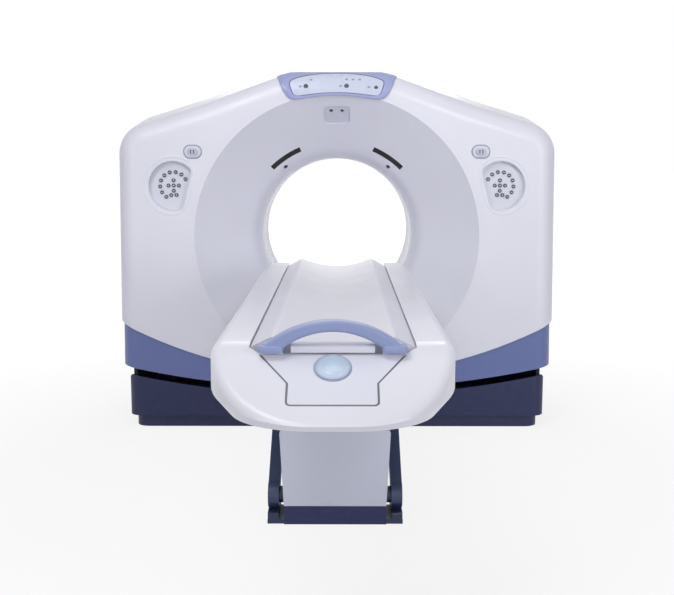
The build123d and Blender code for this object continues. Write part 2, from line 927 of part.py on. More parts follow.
def detector_array():
    """Curved detector opposite the tube, on a bracket to the drum."""
    start = 270 - detector_half_angle
    sweep = 2 * detector_half_angle
    body = sector((detector_front, drum_front), detector_inner_radius, detector_outer_radius, start, sweep)
    face = (detector_front, scan_plane + collimator_half_depth)
    inner = detector_inner_radius - overrun
    return body - sector(face, inner, detector_inner_radius + overrun / 2, start, sweep)


def rotor_box(width, length, depth, angle):
    """Closed box on the front of the drum, at an angle."""
    xs = (rotor_inner_radius, rotor_inner_radius + width)
    shape = block(xs, (drum_front - depth, drum_front), (-length / 2, length / 2))
    return on_rotor(shape, angle)


def hv_tank():
    return rotor_box(tank_width, tank_length, tank_depth, 0)


def heat_exchanger():
    """Cooler with open fins on its front."""
    body = rotor_box(exchanger_width, exchanger_length, exchanger_depth, exchanger_angle)
    pitch = exchanger_length / (2 * fin_count + 1)
    front = drum_front - exchanger_depth
    xs = (rotor_inner_radius + pitch, rotor_inner_radius + exchanger_width - pitch)
    for step in range(fin_count):
        low = (2 * step + 1) * pitch - exchanger_length / 2
        slot = block(xs, (front - overrun, front + fin_depth), (low, low + pitch))
        body -= on_rotor(slot, exchanger_angle)
    return body


def rotor_electronics():
    return rotor_box(exchanger_width, electronics_length, electronics_depth, electronics_angle)


def counterweight():
    ys = (drum_front - weight_depth, drum_front)
    return sector(ys, weight_inner_radius, weight_outer_radius, weight_start, weight_sweep)


# Rotor drive


def belt_ys():
    middle = (drum_front + race_front) / 2
    return middle - belt_width / 2, middle + belt_width / 2


def belt_outline(extra):
    """Loop around the drum and the motor pulley."""
    big = belt_inner_radius + extra
    small = belt_pulley_radius + extra
    far = pulley_distance
    lean = (belt_inner_radius - belt_pulley_radius) / far
    rise = sqrt(1 - lean**2)
    bridge = polygon(
        [
            (big * lean, big * rise),
            (far + small * lean, small * rise),
            (far + small * lean, -small * rise),
            (big * lean, -big * rise),
        ]
    )
    loop = Circle(big) + Pos(far, 0) * Circle(small) + bridge
    return Pos(0, iso_height) * Rot(0, 0, pulley_angle) * loop


def drive_belt():
    return prism_y(belt_outline(belt_thickness) - belt_outline(0), belt_ys())


def drive_pulley():
    """Motor pulley and the stub of its shaft."""
    low, high = belt_ys()
    body = rod_y(pulley_x, pulley_z, (low, high), pulley_radius)
    return body + rod_y(pulley_x, pulley_z, (high, frame_back), motor_shaft_radius)


def drive_motor():
    """Motor behind the tilt frame, on a plate that reaches from the frame to the shaft."""
    bore = rod_y(pulley_x, pulley_z, (0, frame_back + running_gap), motor_shaft_radius + running_gap)
    body = rod_y(pulley_x, pulley_z, (frame_front, frame_front + motor_length), motor_radius)
    reach = rod_y(0, iso_height, (0, gantry_half_depth), frame_outer_radius + running_gap)
    return body - reach - bore


# Table lift


def arm(rises, xs, drop):
    """Lift arm between its two pins. It rises towards the gantry or falls towards it."""
    low = (lift_pivot_y, lift_pivot_height if rises else table_pivot_height)
    high = (arm_far_y, table_pivot_height if rises else lift_pivot_height)
    along = (Vector(*high) - Vector(*low)).normalized()
    side = Vector(-along.Y, along.X) * arm_half_depth
    corners = [Vector(*low) + side, Vector(*high) + side, Vector(*high) - side, Vector(*low) - side]
    body = prism_x(polygon([(corner.X, corner.Y) for corner in corners]), xs)
    for y, z in (low, high):
        body += rod_x(y, z, xs, arm_boss_radius)
    for y, z in drop:
        body -= rod_x(y, z, (xs[0] - overrun, xs[1] + overrun), pin_radius + running_gap)
    return body


centre_pin = ((lift_pivot_y + arm_far_y) / 2, (lift_pivot_height + table_pivot_height) / 2)


def lift_outer_arms():
    """Outer pair of arms on a torque tube, with the centre pins of the scissor."""
    xs = (outer_arm_inner_x, outer_arm_outer_x)
    pair = both_sides(arm(True, xs, [(arm_far_y, table_pivot_height)]))
    pair += rod_x(lift_pivot_y, lift_pivot_height, (-xs[0], xs[0]), torque_tube_radius)
    pin_xs = (inner_arm_inner_x, outer_arm_inner_x)
    return pair + both_sides(rod_x(*centre_pin, pin_xs, pin_radius))


def lift_inner_arms():
    """Inner pair of arms with a cross tube and the pins that carry the table."""
    xs = (inner_arm_inner_x, inner_arm_outer_x)
    pair = both_sides(arm(False, xs, [centre_pin, (arm_far_y, lift_pivot_height)]))
    pin_xs = (xs[0] - arm_thickness, xs[0])
    pair += both_sides(rod_x(lift_pivot_y, table_pivot_height, pin_xs, pin_radius))
    tube_y = lift_pivot_y + lift_run * cross_tube_share
    tube_z = table_pivot_height - lift_rise * cross_tube_share
    return pair + rod_x(tube_y, tube_z, (-xs[0], xs[0]), cross_tube_radius)


def upper_rollers():
    """Through shaft with a roller outside each outer arm."""
    inner = outer_arm_outer_x + roller_side_gap
    shaft = rod_x(arm_far_y, table_pivot_height, (-inner, inner), pin_radius)
    wheel = rod_x(arm_far_y, table_pivot_height, (inner, inner + roller_width), roller_radius)
    return shaft + both_sides(wheel)


def lower_rollers():
    """Stub shaft with a roller inside each inner arm."""
    outer = inner_arm_inner_x - roller_side_gap
    shaft = rod_x(arm_far_y, lift_pivot_height, (outer, inner_arm_outer_x), pin_radius)
    wheel = rod_x(arm_far_y, lift_pivot_height, (outer - roller_width, outer), roller_radius)
    return both_sides(shaft + wheel)


def track(xs, height, web_outside):
    """Channel that holds a roller from above and below."""
    ys = (track_front, track_back)
    reach = roller_radius + running_gap
    low = block(xs, ys, (height - reach - track_wall, height - reach))
    high = block(xs, ys, (height + reach, height + reach + track_wall))
    web_xs = (xs[1], xs[1] + track_wall) if web_outside else (xs[0] - track_wall, xs[0])
    web = block(web_xs, ys, (height - reach - track_wall, height + reach + track_wall))
    return both_sides(low + high + web)


def table_base_frame():
    """Floor plate with pivot blocks and the lower roller tracks."""
    floor_zs = (0, table_plate_height)
    half = inner_arm_inner_x - roller_side_gap
    frame = block((-half, half), (table_base_front, track_back), floor_zs)
    foot_ys = (table_base_front, table_base_front + foot_rail_length)
    frame += block((-table_plate_half_width, table_plate_half_width), foot_ys, floor_zs)
    rail_xs = (outer_arm_inner_x, outer_arm_outer_x)
    frame += both_sides(block(rail_xs, foot_ys, (0, foot_rail_height)))
    frame += track(lower_track_xs, lift_pivot_height, False)
    low = lift_pivot_height - roller_radius - running_gap - track_wall
    frame += both_sides(block(lower_track_xs, (track_front, track_back), (0, low)))
    block_xs = (inner_arm_inner_x - arm_thickness, inner_arm_inner_x)
    block_ys = (lift_pivot_y - arm_boss_radius, lift_pivot_y + arm_boss_radius)
    frame += both_sides(block(block_xs, block_ys, (0, lift_pivot_height + arm_boss_radius)))
    wide = outer_arm_inner_x
    return frame - rod_x(lift_pivot_y, lift_pivot_height, (-wide, wide), torque_tube_radius + running_gap)


def table_kick_cover():
    """Low cover on the front of the table base."""
    front = table_base_front - kick_wall
    ys = (front, lift_pivot_y - arm_boss_radius)
    xs = (-kick_half_width, kick_half_width)
    cover = block(xs, ys, (0, kick_height))
    inner_xs = (kick_wall - kick_half_width, kick_half_width - kick_wall)
    cover -= block(inner_xs, (table_base_front, ys[1]), (0, kick_height - kick_wall))
    return cover - block(xs, (table_base_front, ys[1]), (0, table_plate_height))


def table_front_panel():
    """Tapered front panel of the pedestal with turned-back sides."""
    back = table_base_front - kick_wall + front_panel_return

    def face(inset):
        low = kick_height
        high = front_panel_top
        points = [
            (inset - kick_half_width, low),
            (kick_half_width - inset, low),
            (front_panel_high_half_width - inset, high - inset),
            (inset - front_panel_high_half_width, high - inset),
        ]
        shape = polygon(points)
        return fillet(shape.vertices().sort_by(Axis.Y)[-2:], front_panel_corner)

    panel = prism_y(face(0), (table_base_front - kick_wall, back))
    return panel - prism_y(face(front_panel_wall), (table_base_front, back))


def lift_gearmotor():
    """Closed gear unit on the torque tube with its motor lying on the base."""
    xs = (-lift_gear_half_width, lift_gear_half_width)
    ys = (lift_pivot_y - arm_boss_radius, lift_pivot_y + lift_gear_half_size)
    zs = (table_plate_height, lift_pivot_height + lift_gear_half_size)
    case = block(xs, ys, zs)
    case = fillet(case.edges().filter_by(Axis.X).sort_by(Axis.Z)[-2:], lift_gear_half_size / 2)
    motor_ys = (ys[1], ys[1] + lift_motor_length)
    case += rod_y(0, lift_pivot_height, motor_ys, lift_motor_radius)
    return case - rod_x(lift_pivot_y, lift_pivot_height, xs, torque_tube_radius + running_gap)


def floor_duct_cover():
    """Low cable cover that joins the table base to the gantry base."""
    ys = (track_back, base_kick_inset - base_half_depth)
    cover = block((-duct_half_width, duct_half_width), ys, (0, duct_height))
    return chamfer(cover.edges().filter_by(Axis.Y).sort_by(Axis.Z)[-2:], duct_edge)


# Table top


def table_side(inset, top, low):
    """Side view of the table: flat top, sloped foot deck, raised tip."""
    slope = radians(foot_slope)
    nose_y = table_foot_end + inset
    fall = (table_crease - nose_y) * tan(slope)
    lift = inset / cos(slope)
    tip_low = low + table_tip_under - table_under
    points = [
        (table_gantry_end - inset, top),
        (table_crease + (top - table_top + lift) / tan(slope), top),
        (nose_y, table_top - fall - lift),
        (nose_y, low + nose_low - table_under),
        (nose_ramp, low),
        (tip_ramp, low),
        (tip_start, tip_low),
        (table_gantry_end - inset, tip_low),
    ]
    return polygon(points)


def table_plan(inset):
    """Top view of the table with a round foot end."""
    half = table_half_width - inset
    ends = (table_foot_end + inset, table_gantry_end - inset)
    face = polygon([(-half, ends[0]), (half, ends[0]), (half, ends[1]), (-half, ends[1])])
    face = fillet(face.vertices().sort_by(Axis.Y)[:2], foot_corner_radius - inset)
    return fillet(face.vertices().sort_by(Axis.Y)[-2:], gantry_corner_radius - inset)


def keel_plan(inset):
    """Outline of the table's lower flanks at the height of the nose."""
    half = table_half_width - keel_inset - keel_wall_share * inset
    ends = (table_foot_end + keel_foot_inset + keel_wall_share * inset, table_gantry_end + overrun)
    face = polygon([(-half, ends[0]), (half, ends[0]), (half, ends[1]), (-half, ends[1])])
    return fillet(face.vertices().sort_by(Axis.Y)[:2], half - keel_inset)


def keel():
    """Everything inside the sloped lower flanks of the table, which draw in towards the floor."""
    return extrude(Pos(0, 0, nose_low) * keel_plan(0), table_top - nose_low, taper=-keel_flare)


def table_body():
    """Outer form of the table top, rounded along its upper edge."""
    side = table_side(0, table_top, table_under)
    crease = side.vertices().sort_by(Axis.Y)[-2:].sort_by(Axis.X)[:1]
    side = fillet(crease, table_crease_radius)
    body = prism_x(side, (-table_half_width, table_half_width))
    body &= prism_z(table_plan(0), (0, table_top))
    body &= keel()
    upper = [edge for face in body.faces() if face.normal_at().Z > 0 for edge in face.edges()]
    upright = [face for face in body.faces() if abs(face.normal_at().Z) < upright_share]
    walls = [edge for face in upright for edge in face.edges()]
    rim = [edge for edge in upper if any(edge.is_same(other) for other in walls)]
    return fillet(rim, table_edge_radius)


def slope_plane():
    """Plane of the foot deck, with its origin at the crease and +Y up the slope."""
    slope = radians(foot_slope)
    return Plane((0, table_crease, table_top), x_dir=(1, 0, 0), z_dir=(0, -sin(slope), cos(slope)))


def deck_face(extra):
    """Outline of the foot deck panel: it narrows to a tongue."""
    right = [
        (deck_half_width, -deck_start),
        (deck_tongue_half_width, -deck_taper),
        (deck_tongue_half_width, -deck_length),
    ]
    left = [(-x, y) for x, y in reversed(right)]
    face = polygon(right + left)
    face = fillet(face.vertices().sort_by(Axis.Y)[:2], deck_corner_radius)
    return offset(face, extra, kind=Kind.INTERSECTION) if extra else face


def channel_plan():
    """Top view of the cradle channel, with cut corners at the foot end."""
    right = [
        (channel_half_width, table_gantry_end + overrun),
        (channel_half_width, channel_end + channel_corner),
        (channel_half_width - channel_corner, channel_end),
    ]
    left = [(-x, y) for x, y in reversed(right)]
    return polygon(right + left)


def roller_slot_ys():
    reach = drive_roller_radius + roller_side_gap
    return drive_roller_y - reach, drive_roller_y + reach


def roller_slot_xs():
    reach = drive_roller_width / 2 + roller_side_gap
    return -reach, reach


def table_shell():
    """Moulded table top, open below, with the channel of the cradle and the seat of the deck panel."""
    roof = channel_floor - table_wall
    side = table_side(table_wall, roof, table_under - overrun)
    cavity = prism_x(side, (-table_half_width, table_half_width))
    ledge = nose_low + (keel_inset - table_wall + keel_wall_share * table_wall) / tan(radians(keel_flare))
    shell = table_body() - (cavity & prism_z(table_plan(table_wall), (ledge, table_top)))
    shell -= cavity & prism_z(keel_plan(table_wall), (0, table_top))
    bay = upper_track_xs[1] + track_wall + running_gap
    bay_ys = (track_front - running_gap, track_back + running_gap)
    shell -= block((-bay, bay), bay_ys, (0, roof - chassis_plate))
    shell -= prism_z(channel_plan(), (channel_floor, table_top + overrun))
    shell -= extrude(slope_plane().offset(-deck_wall) * deck_face(deck_gap), overrun)
    return shell - block(roller_slot_xs(), roller_slot_ys(), (roof, channel_floor))


def under_pan():
    """Closing plate inside the lower rim of the foot half."""
    plate = prism_z(keel_plan(table_wall + running_gap), (table_under, table_under + under_pan_wall))
    wide = table_half_width
    return plate & block((-wide, wide), (under_pan_front, under_pan_back), (0, table_top))


def foot_deck_panel():
    """Panel let into the sloped foot deck, with a seam all round."""
    return extrude(slope_plane().offset(-deck_wall) * deck_face(0), deck_wall)


def domed_disc():
    """Round disc on the foot deck: a rim with a shallow dome inside."""
    crown = (disc_radius - disc_rim) ** 2 / (2 * disc_rise) + disc_rise / 2
    plane = slope_plane() * Pos(0, -disc_place)
    rim = extrude(plane * Circle(disc_radius), disc_rise / 2)
    dome = plane * Pos(0, 0, disc_rise - crown) * Sphere(crown)
    cap = dome & extrude(plane * Circle(disc_radius - disc_rim), disc_rise)
    return rim + cap


def table_chassis():
    """Steel frame under the table top, with the pivot hangers and the upper roller tracks."""
    roof = channel_floor - table_wall
    plate_zs = (roof - chassis_plate, roof)
    half = upper_track_xs[1] + track_wall
    frame = block((-half, half), (chassis_front, track_back), plate_zs)
    case_ys = (drive_roller_y - drive_case_half_length, drive_roller_y + drive_case_half_length)
    frame -= block((-drive_case_half_width, drive_case_half_width), case_ys, plate_zs)
    frame += track(upper_track_xs, table_pivot_height, True)
    web_xs = (upper_track_xs[1], half)
    frame += both_sides(block(web_xs, (track_front, track_back), (table_pivot_height, roof)))
    hanger_xs = (inner_arm_inner_x - arm_thickness, inner_arm_inner_x - running_gap)
    hanger_ys = (lift_pivot_y - hanger_half_length, lift_pivot_y + hanger_half_length)
    low = table_pivot_height - hanger_half_length
    frame += both_sides(block(hanger_xs, hanger_ys, (low, roof)))
    wide = inner_arm_inner_x
    return frame - rod_x(lift_pivot_y, table_pivot_height, (-wide, wide), pin_radius + running_gap)


# Cradle


def cradle():
    """Long concave cradle with runners below, and its end cap with two tabs for the handle."""
    edges = [
        ThreePointArc(
            (-cradle_rim_half_width, cradle_rim_top),
            (0, cradle_trough_top),
            (cradle_rim_half_width, cradle_rim_top),
        ),
        Polyline(
            (cradle_rim_half_width, cradle_rim_top),
            (cradle_half_width, cradle_edge_top),
            (cradle_half_width, cradle_under),
            (-cradle_half_width, cradle_under),
            (-cradle_half_width, cradle_edge_top),
            (-cradle_rim_half_width, cradle_rim_top),
        ),
    ]
    section = make_face(Curve() + edges)
    section = fillet(section.vertices().sort_by(Axis.Y)[-2:], cradle_rim_radius)
    body = prism_y(section, (cradle_foot_end, cradle_head_end))
    half = cradle_half_width
    plan = polygon(
        [(-half, cradle_foot_end), (half, cradle_foot_end), (half, cradle_head_end), (-half, cradle_head_end)]
    )
    plan = fillet(plan.vertices().sort_by(Axis.Y)[-2:], cradle_tip_radius)
    body &= prism_z(plan, (cradle_under, cradle_rim_top))
    tab_xs = (handle_half_span - cradle_tab_half_width, handle_half_span + cradle_tab_half_width)
    tab_ys = (cradle_tab_end, cradle_foot_end + handle_foot_length)
    body += both_sides(block(tab_xs, tab_ys, (cradle_tab_under, cradle_tab_top)))
    lip_half = handle_half_span - handle_pad_radius - lip_gap
    lip_ys = (cradle_tab_end + lip_setback, cradle_foot_end)
    lip = block((-lip_half, lip_half), lip_ys, (cradle_tab_under, lip_top))
    lip_front = lip.edges().filter_by(Axis.X).sort_by(Axis.Z)[-2:].sort_by(Axis.Y)[:1]
    body += fillet(lip_front, lip_radius)
    runner_xs = (rail_half_spacing - runner_width / 2, rail_half_spacing + runner_width / 2)
    runner_ys = (cradle_foot_end, cradle_foot_end + runner_length)
    runner_zs = (channel_floor + rail_height + running_gap, cradle_under)
    body += both_sides(block(runner_xs, runner_ys, runner_zs))
    cap_ys = (cradle_tab_end, cradle_foot_end + cradle_cap_length)
    cap = block((-half, half), cap_ys, (channel_floor, cradle_rim_top))
    return Compound(children=[body & cap, body - cap])


def cradle_rails():
    xs = (rail_half_spacing - rail_width / 2, rail_half_spacing + rail_width / 2)
    ys = (channel_end + channel_corner, table_gantry_end - gantry_corner_radius)
    return both_sides(block(xs, ys, (channel_floor, channel_floor + rail_height)))


def cradle_handle():
    """Arched pull handle on the tabs of the cradle."""
    low = cradle_tab_top
    inner = (handle_half_span - handle_bar_height, low)
    outer = (handle_half_span + handle_bar_height, low)
    edges = [
        ThreePointArc((-outer[0], low), (0, low + handle_rise), outer),
        Line(outer, inner),
        ThreePointArc(inner, (0, low + handle_rise - handle_bar_height), (-inner[0], low)),
        Line((-inner[0], low), (-outer[0], low)),
    ]
    bar = prism_y(make_face(Curve() + edges), (cradle_tab_end, cradle_tab_end + handle_bar_width))
    long_edges = [edge for edge in bar.edges() if edge.geom_type == GeomType.CIRCLE]
    bar = fillet(long_edges, handle_edge_radius)
    pad_y = cradle_tab_end + handle_pad_radius
    pad = rod_z(handle_half_span, pad_y, (low, low + handle_pad_height), handle_pad_radius)
    pad = fillet(pad.edges().sort_by(Axis.Z)[-1:], handle_edge_radius)
    return bar + both_sides(pad)


drive_axis_height = cradle_under - running_gap - drive_roller_radius


def cradle_drive_roller():
    """Rubber roller that pushes the cradle along, with its stub shafts."""
    half = drive_roller_width / 2
    reach = half + roller_side_gap + drive_shaft_length
    roller = rod_x(drive_roller_y, drive_axis_height, (-half, half), drive_roller_radius)
    return roller + rod_x(drive_roller_y, drive_axis_height, (-reach, reach), drive_shaft_radius)


def cradle_drive_unit():
    """Closed drive case around the roller, with its motor."""
    roof = channel_floor - table_wall
    xs = (-drive_case_half_width, drive_case_half_width)
    ys = (drive_roller_y - drive_case_half_length, drive_roller_y + drive_case_half_length)
    case = block(xs, ys, (drive_case_under, roof))
    motor_z = drive_case_under + drive_motor_radius
    motor_xs = (xs[1], xs[1] + drive_motor_length)
    case += rod_x(drive_roller_y, motor_z, motor_xs, drive_motor_radius)
    case -= block(roller_slot_xs(), roller_slot_ys(), (drive_case_under + table_wall, roof))
    reach = drive_roller_width / 2 + 2 * roller_side_gap + drive_shaft_length
    return case - rod_x(drive_roller_y, drive_axis_height, (-reach, reach), drive_shaft_radius + running_gap)


nodes = {
    "front_cover": front_cover,
    "rear_cover": rear_cover,
    "front_flare": front_flare_ring,
    "rear_flare": rear_flare_ring,
    "lower_front_cover": lower_front_cover,
    "lower_rear_cover": lower_rear_cover,
    "scan_window": scan_window,
    "display_bezel": display_bezel,
    "display_panel": display_panel,
    "breath_light_panel": breath_light_panel,
    "laser_windows": laser_windows,
    "control_pods": control_pods,
    "control_keys": control_keys,
    "stop_bezels": stop_bezels,
    "stop_button_left": lambda: stop_button(-1),
    "stop_button_right": lambda: stop_button(1),
    "base_front_cover": lambda: base_cover(-1),
    "base_rear_cover": lambda: base_cover(1),
    "gantry_floor_plate": gantry_floor_plate,
    "tilt_pedestal_left": lambda: tilt_pedestal(-1),
    "tilt_pedestal_right": lambda: tilt_pedestal(1),
    "anchor_bolts": anchor_bolts,
    "tilt_gearmotor": tilt_gearmotor,
    "trunnion_shafts": trunnion_shafts,
    "tilt_frame": tilt_frame,
    "cover_brackets": cover_brackets,
    "main_bearing_outer": main_bearing_outer,
    "main_bearing_inner": main_bearing_inner,
    "rotor_drum": rotor_drum,
    "slip_ring": slip_ring,
    "brush_block": brush_block,
    "xray_tube": xray_tube,
    "collimator": collimator,
    "detector_array": detector_array,
    "hv_tank": hv_tank,
    "heat_exchanger": heat_exchanger,
    "rotor_electronics": rotor_electronics,
    "counterweight": counterweight,
    "drive_belt": drive_belt,
    "drive_pulley": drive_pulley,
    "drive_motor": drive_motor,
    "lift_outer_arms": lift_outer_arms,
    "lift_inner_arms": lift_inner_arms,
    "upper_rollers": upper_rollers,
    "lower_rollers": lower_rollers,
    "table_base_frame": table_base_frame,
    "table_kick_cover": table_kick_cover,
    "table_front_panel": table_front_panel,
    "lift_gearmotor": lift_gearmotor,
    "floor_duct_cover": floor_duct_cover,
    "table_shell": table_shell,
    "under_pan": under_pan,
    "foot_deck_panel": foot_deck_panel,
    "domed_disc": domed_disc,
    "table_chassis": table_chassis,
    "cradle": cradle,
    "cradle_rails": cradle_rails,
    "cradle_handle": cradle_handle,
    "cradle_drive_roller": cradle_drive_roller,
    "cradle_drive_unit": cradle_drive_unit,
}

os.makedirs("parts", exist_ok=True)
for name, make in nodes.items():
    export_step(make(), f"parts/{name}.step")
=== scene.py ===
import math

import bmesh
import bpy
from mathutils import Matrix, Vector
from mathutils.bvhtree import BVHTree


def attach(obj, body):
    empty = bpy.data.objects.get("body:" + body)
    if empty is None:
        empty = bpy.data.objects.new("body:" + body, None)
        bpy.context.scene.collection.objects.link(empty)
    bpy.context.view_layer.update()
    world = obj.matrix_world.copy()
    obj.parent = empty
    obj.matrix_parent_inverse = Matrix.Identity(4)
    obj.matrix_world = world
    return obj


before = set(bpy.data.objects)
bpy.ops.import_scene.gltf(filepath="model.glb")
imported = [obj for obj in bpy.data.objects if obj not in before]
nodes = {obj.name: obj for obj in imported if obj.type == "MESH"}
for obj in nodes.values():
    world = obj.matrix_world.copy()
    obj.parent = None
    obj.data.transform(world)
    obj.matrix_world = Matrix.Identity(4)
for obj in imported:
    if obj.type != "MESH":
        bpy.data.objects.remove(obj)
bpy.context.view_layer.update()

# Photograph and camera: pixels, millimetres of sensor, metres and degrees
PHOTO_WIDTH = 674
FOCAL_PIXELS = 1000.0
SENSOR_WIDTH = 36.0
CAMERA_PLACE = (0.02, -4.87, 1.23)
CAMERA_PITCH = 8.1
CAMERA_YAW = 0.24

# Places on the part that several pieces use, in metres
AXIS_HEIGHT = 0.865
POD_PLACE = (0.722, 1.097)
STOP_PLACE = (0.632, 1.245)
DISC_PLACE = (0.0, -2.5245, 0.7265)
DISC_DOME_RADIUS = 0.0382
SIDES = (-1, 1)
ACROSS = Vector((1, 0, 0))
FORWARD = (0, 1, 0)
DOWN = (0, 0, -1)
IN_FRONT = -1.0
ABOVE = 1.0

# Textures: scale, detail and, for grain along one direction, a stretch
EVEN = (1, 1, 1)
SLOW_CLOUDS = (2.6, 2.0)
FINE_CLOUDS = (34.0, 4.0)
SCUFF_STREAKS = (26.0, 6.0, (1, 1, 3.0))
WIPE_MARKS = (9.0, 5.0, (1, 1, 0.35))
ORANGE_PEEL = (420.0, 1.0)
POWDER_SPECKS = (700.0, 1.0)
POWDER_GLOSS = (30.0, 4.0)
POWDER_GRAIN = (620.0, 2.0)
METAL_STREAKS = (260.0, 3.0)
METAL_STAINS = (14.0, 4.0)
RUBBER_BLOOM = (46.0, 5.0)
RUBBER_GLOSS = (80.0, 3.0)
RUBBER_GRAIN = (1100.0, 2.0)
WINDOW_SMEARS = (18.0, 6.0, (1, 1, 0.4))
WINDOW_WAVES = (90.0, 1.0)
DOME_CLOUDS = (70.0, 3.0)
DOME_GLOSS = (40.0, 3.0)
DOME_GRAIN = (500.0, 1.0)

# Bands of a texture's value: where marks begin and where they are full
MIDDLE_BAND = (0.3, 0.7)
STREAK_BAND = (0.52, 0.68)
SPECK_BAND = (0.55, 0.75)
STAIN_BAND = (0.5, 0.75)

# Roughness below and above a material's own
MOULDED_GLOSS_BAND = (-0.05, 0.07)
POWDER_GLOSS_BAND = (-0.07, 0.08)
METAL_GLOSS_BAND = (-0.08, 0.1)
RUBBER_GLOSS_BAND = (-0.08, 0.08)
WINDOW_GLOSS_BAND = (-0.03, 0.08)
DOME_GLOSS_BAND = (-0.07, 0.07)
DOME_ROUGHNESS = 0.23

# Relief depths, in metres
BUMP_STRENGTH = 0.6
METAL_DEPTH = 0.00002
RUBBER_DEPTH = 0.00005
WINDOW_DEPTH = 0.00001
DOME_DEPTH = 0.00002

# Marks near the floor: height that they reach and their share at the floor
DUST_MARKS = (0.5, 0.5)
PAINT_MARKS = (0.13, 0.3)

SCREEN_GAMMA = 2.2
COAT_ROUGHNESS = 0.2
WINDOW_COAT = 0.4
SPECK_SHARE = 0.2
SPECK_TONE = 1.35
STAIN_SHARE = 0.4
STAIN_TONE = 0.7
BLOOM_SHARE = 0.5
BLOOM_TONE = 1.5
BLOOM_VARIATION = 0.4
DOME_EDGE = 0.0006
# Painted highlight and shade on the dome: lighter at its middle, darker towards its edge
DOME_PAINTED_LIGHT_TONES = (1.06, 0.84)
DOME_CLOUD_SHARE = 0.25
DOME_CLOUD_TONE = 0.9

# Materials


def new_material(name):
    """Material with a Principled shader, and its node tree."""
    material = bpy.data.materials.new(name)
    material.use_nodes = True
    tree = material.node_tree
    tree.nodes.clear()
    out = tree.nodes.new("ShaderNodeOutputMaterial")
    shader = tree.nodes.new("ShaderNodeBsdfPrincipled")
    tree.links.new(shader.outputs["BSDF"], out.inputs["Surface"])
    return material, tree, shader


def places(tree, stretch=EVEN):
    """Coordinates of the part's own frame, in metres, stretched for directional grain."""
    source = tree.nodes.new("ShaderNodeTexCoord").outputs["Object"]
    if stretch == EVEN:
        return source
    mapping = tree.nodes.new("ShaderNodeMapping")
    mapping.inputs["Scale"].default_value = stretch
    tree.links.new(source, mapping.inputs["Vector"])
    return mapping.outputs["Vector"]


def noise(tree, scale, detail, stretch=EVEN):
    """Noise texture's value."""
    texture = tree.nodes.new("ShaderNodeTexNoise")
    texture.inputs["Scale"].default_value = scale
    texture.inputs["Detail"].default_value = detail
    tree.links.new(places(tree, stretch), texture.inputs["Vector"])
    return texture.outputs["Fac"]


def spread(tree, source, low, high, band=MIDDLE_BAND):
    """Spread a value from a band over low..high."""
    node = tree.nodes.new("ShaderNodeMapRange")
    node.inputs["From Min"].default_value, node.inputs["From Max"].default_value = band
    node.inputs["To Min"].default_value = low
    node.inputs["To Max"].default_value = high
    tree.links.new(source, node.inputs["Value"])
    return node.outputs["Result"]


def set_or_link(tree, socket, value):
    """Give a socket a colour, a number or another socket's value."""
    if isinstance(value, tuple):
        socket.default_value = (*value, 1)
    elif isinstance(value, float):
        socket.default_value = value
    else:
        tree.links.new(value, socket)


def calculated(tree, operation, first, second):
    """Result of a sum on two values, the second a number or a socket."""
    node = tree.nodes.new("ShaderNodeMath")
    node.operation = operation
    tree.links.new(first, node.inputs[0])
    set_or_link(tree, node.inputs[1], second)
    return node.outputs["Value"]


def distance_from(tree, place):
    """Distance of a surface point from a place, in metres."""
    node = tree.nodes.new("ShaderNodeVectorMath")
    node.operation = "DISTANCE"
    node.inputs[1].default_value = place
    tree.links.new(places(tree), node.inputs[0])
    return node.outputs["Value"]


def height_above_floor(tree):
    """Height of a surface point, in metres."""
    node = tree.nodes.new("ShaderNodeSeparateXYZ")
    tree.links.new(places(tree), node.inputs["Vector"])
    return node.outputs["Z"]


def blend(tree, factor, first, second):
    """Mix two colours, each a tuple or a socket."""
    node = tree.nodes.new("ShaderNodeMix")
    node.data_type = "RGBA"
    set_or_link(tree, node.inputs[6], first)
    set_or_link(tree, node.inputs[7], second)
    tree.links.new(factor, node.inputs["Factor"])
    return node.outputs[2]


def shaded(colour, share):
    """Colour made lighter or darker."""
    return tuple(min(channel * share, 1) for channel in colour)


def linear(colour):
    """Screen colour, 0 to 255, as the shader's linear colour."""
    return tuple((channel / 255) ** SCREEN_GAMMA for channel in colour)


def bump(tree, shader, height, depth):
    """Fine relief with a depth in metres."""
    node = tree.nodes.new("ShaderNodeBump")
    node.inputs["Strength"].default_value = BUMP_STRENGTH
    node.inputs["Distance"].default_value = depth
    tree.links.new(height, node.inputs["Height"])
    tree.links.new(node.outputs["Normal"], shader.inputs["Normal"])


def uneven_gloss(tree, shader, source, rough, band):
    """Roughness that varies with a texture, within a band round its value."""
    low, high = band
    tree.links.new(spread(tree, source, rough + low, rough + high), shader.inputs["Roughness"])


def mottled(tree, colour, vary):
    """Slow cloudiness with a finer one on top of it."""
    slow = spread(tree, noise(tree, *SLOW_CLOUDS), 0, 1)
    fine = spread(tree, noise(tree, *FINE_CLOUDS), 0, 1)
    tone = blend(tree, slow, shaded(colour, 1 - vary), shaded(colour, 1 + vary))
    faint = calculated(tree, "MULTIPLY", fine, vary * 2)
    return blend(tree, faint, tone, shaded(colour, 1 - 2 * vary))


def scuffs(tree, tone, mark, reach, most):
    """Rubbed marks that gather towards the floor, below a height in metres."""
    near = spread(tree, height_above_floor(tree), most, 0, (0.0, reach))
    streak = spread(tree, noise(tree, *SCUFF_STREAKS), 0, 1, STREAK_BAND)
    return blend(tree, calculated(tree, "MULTIPLY", near, streak), tone, mark)


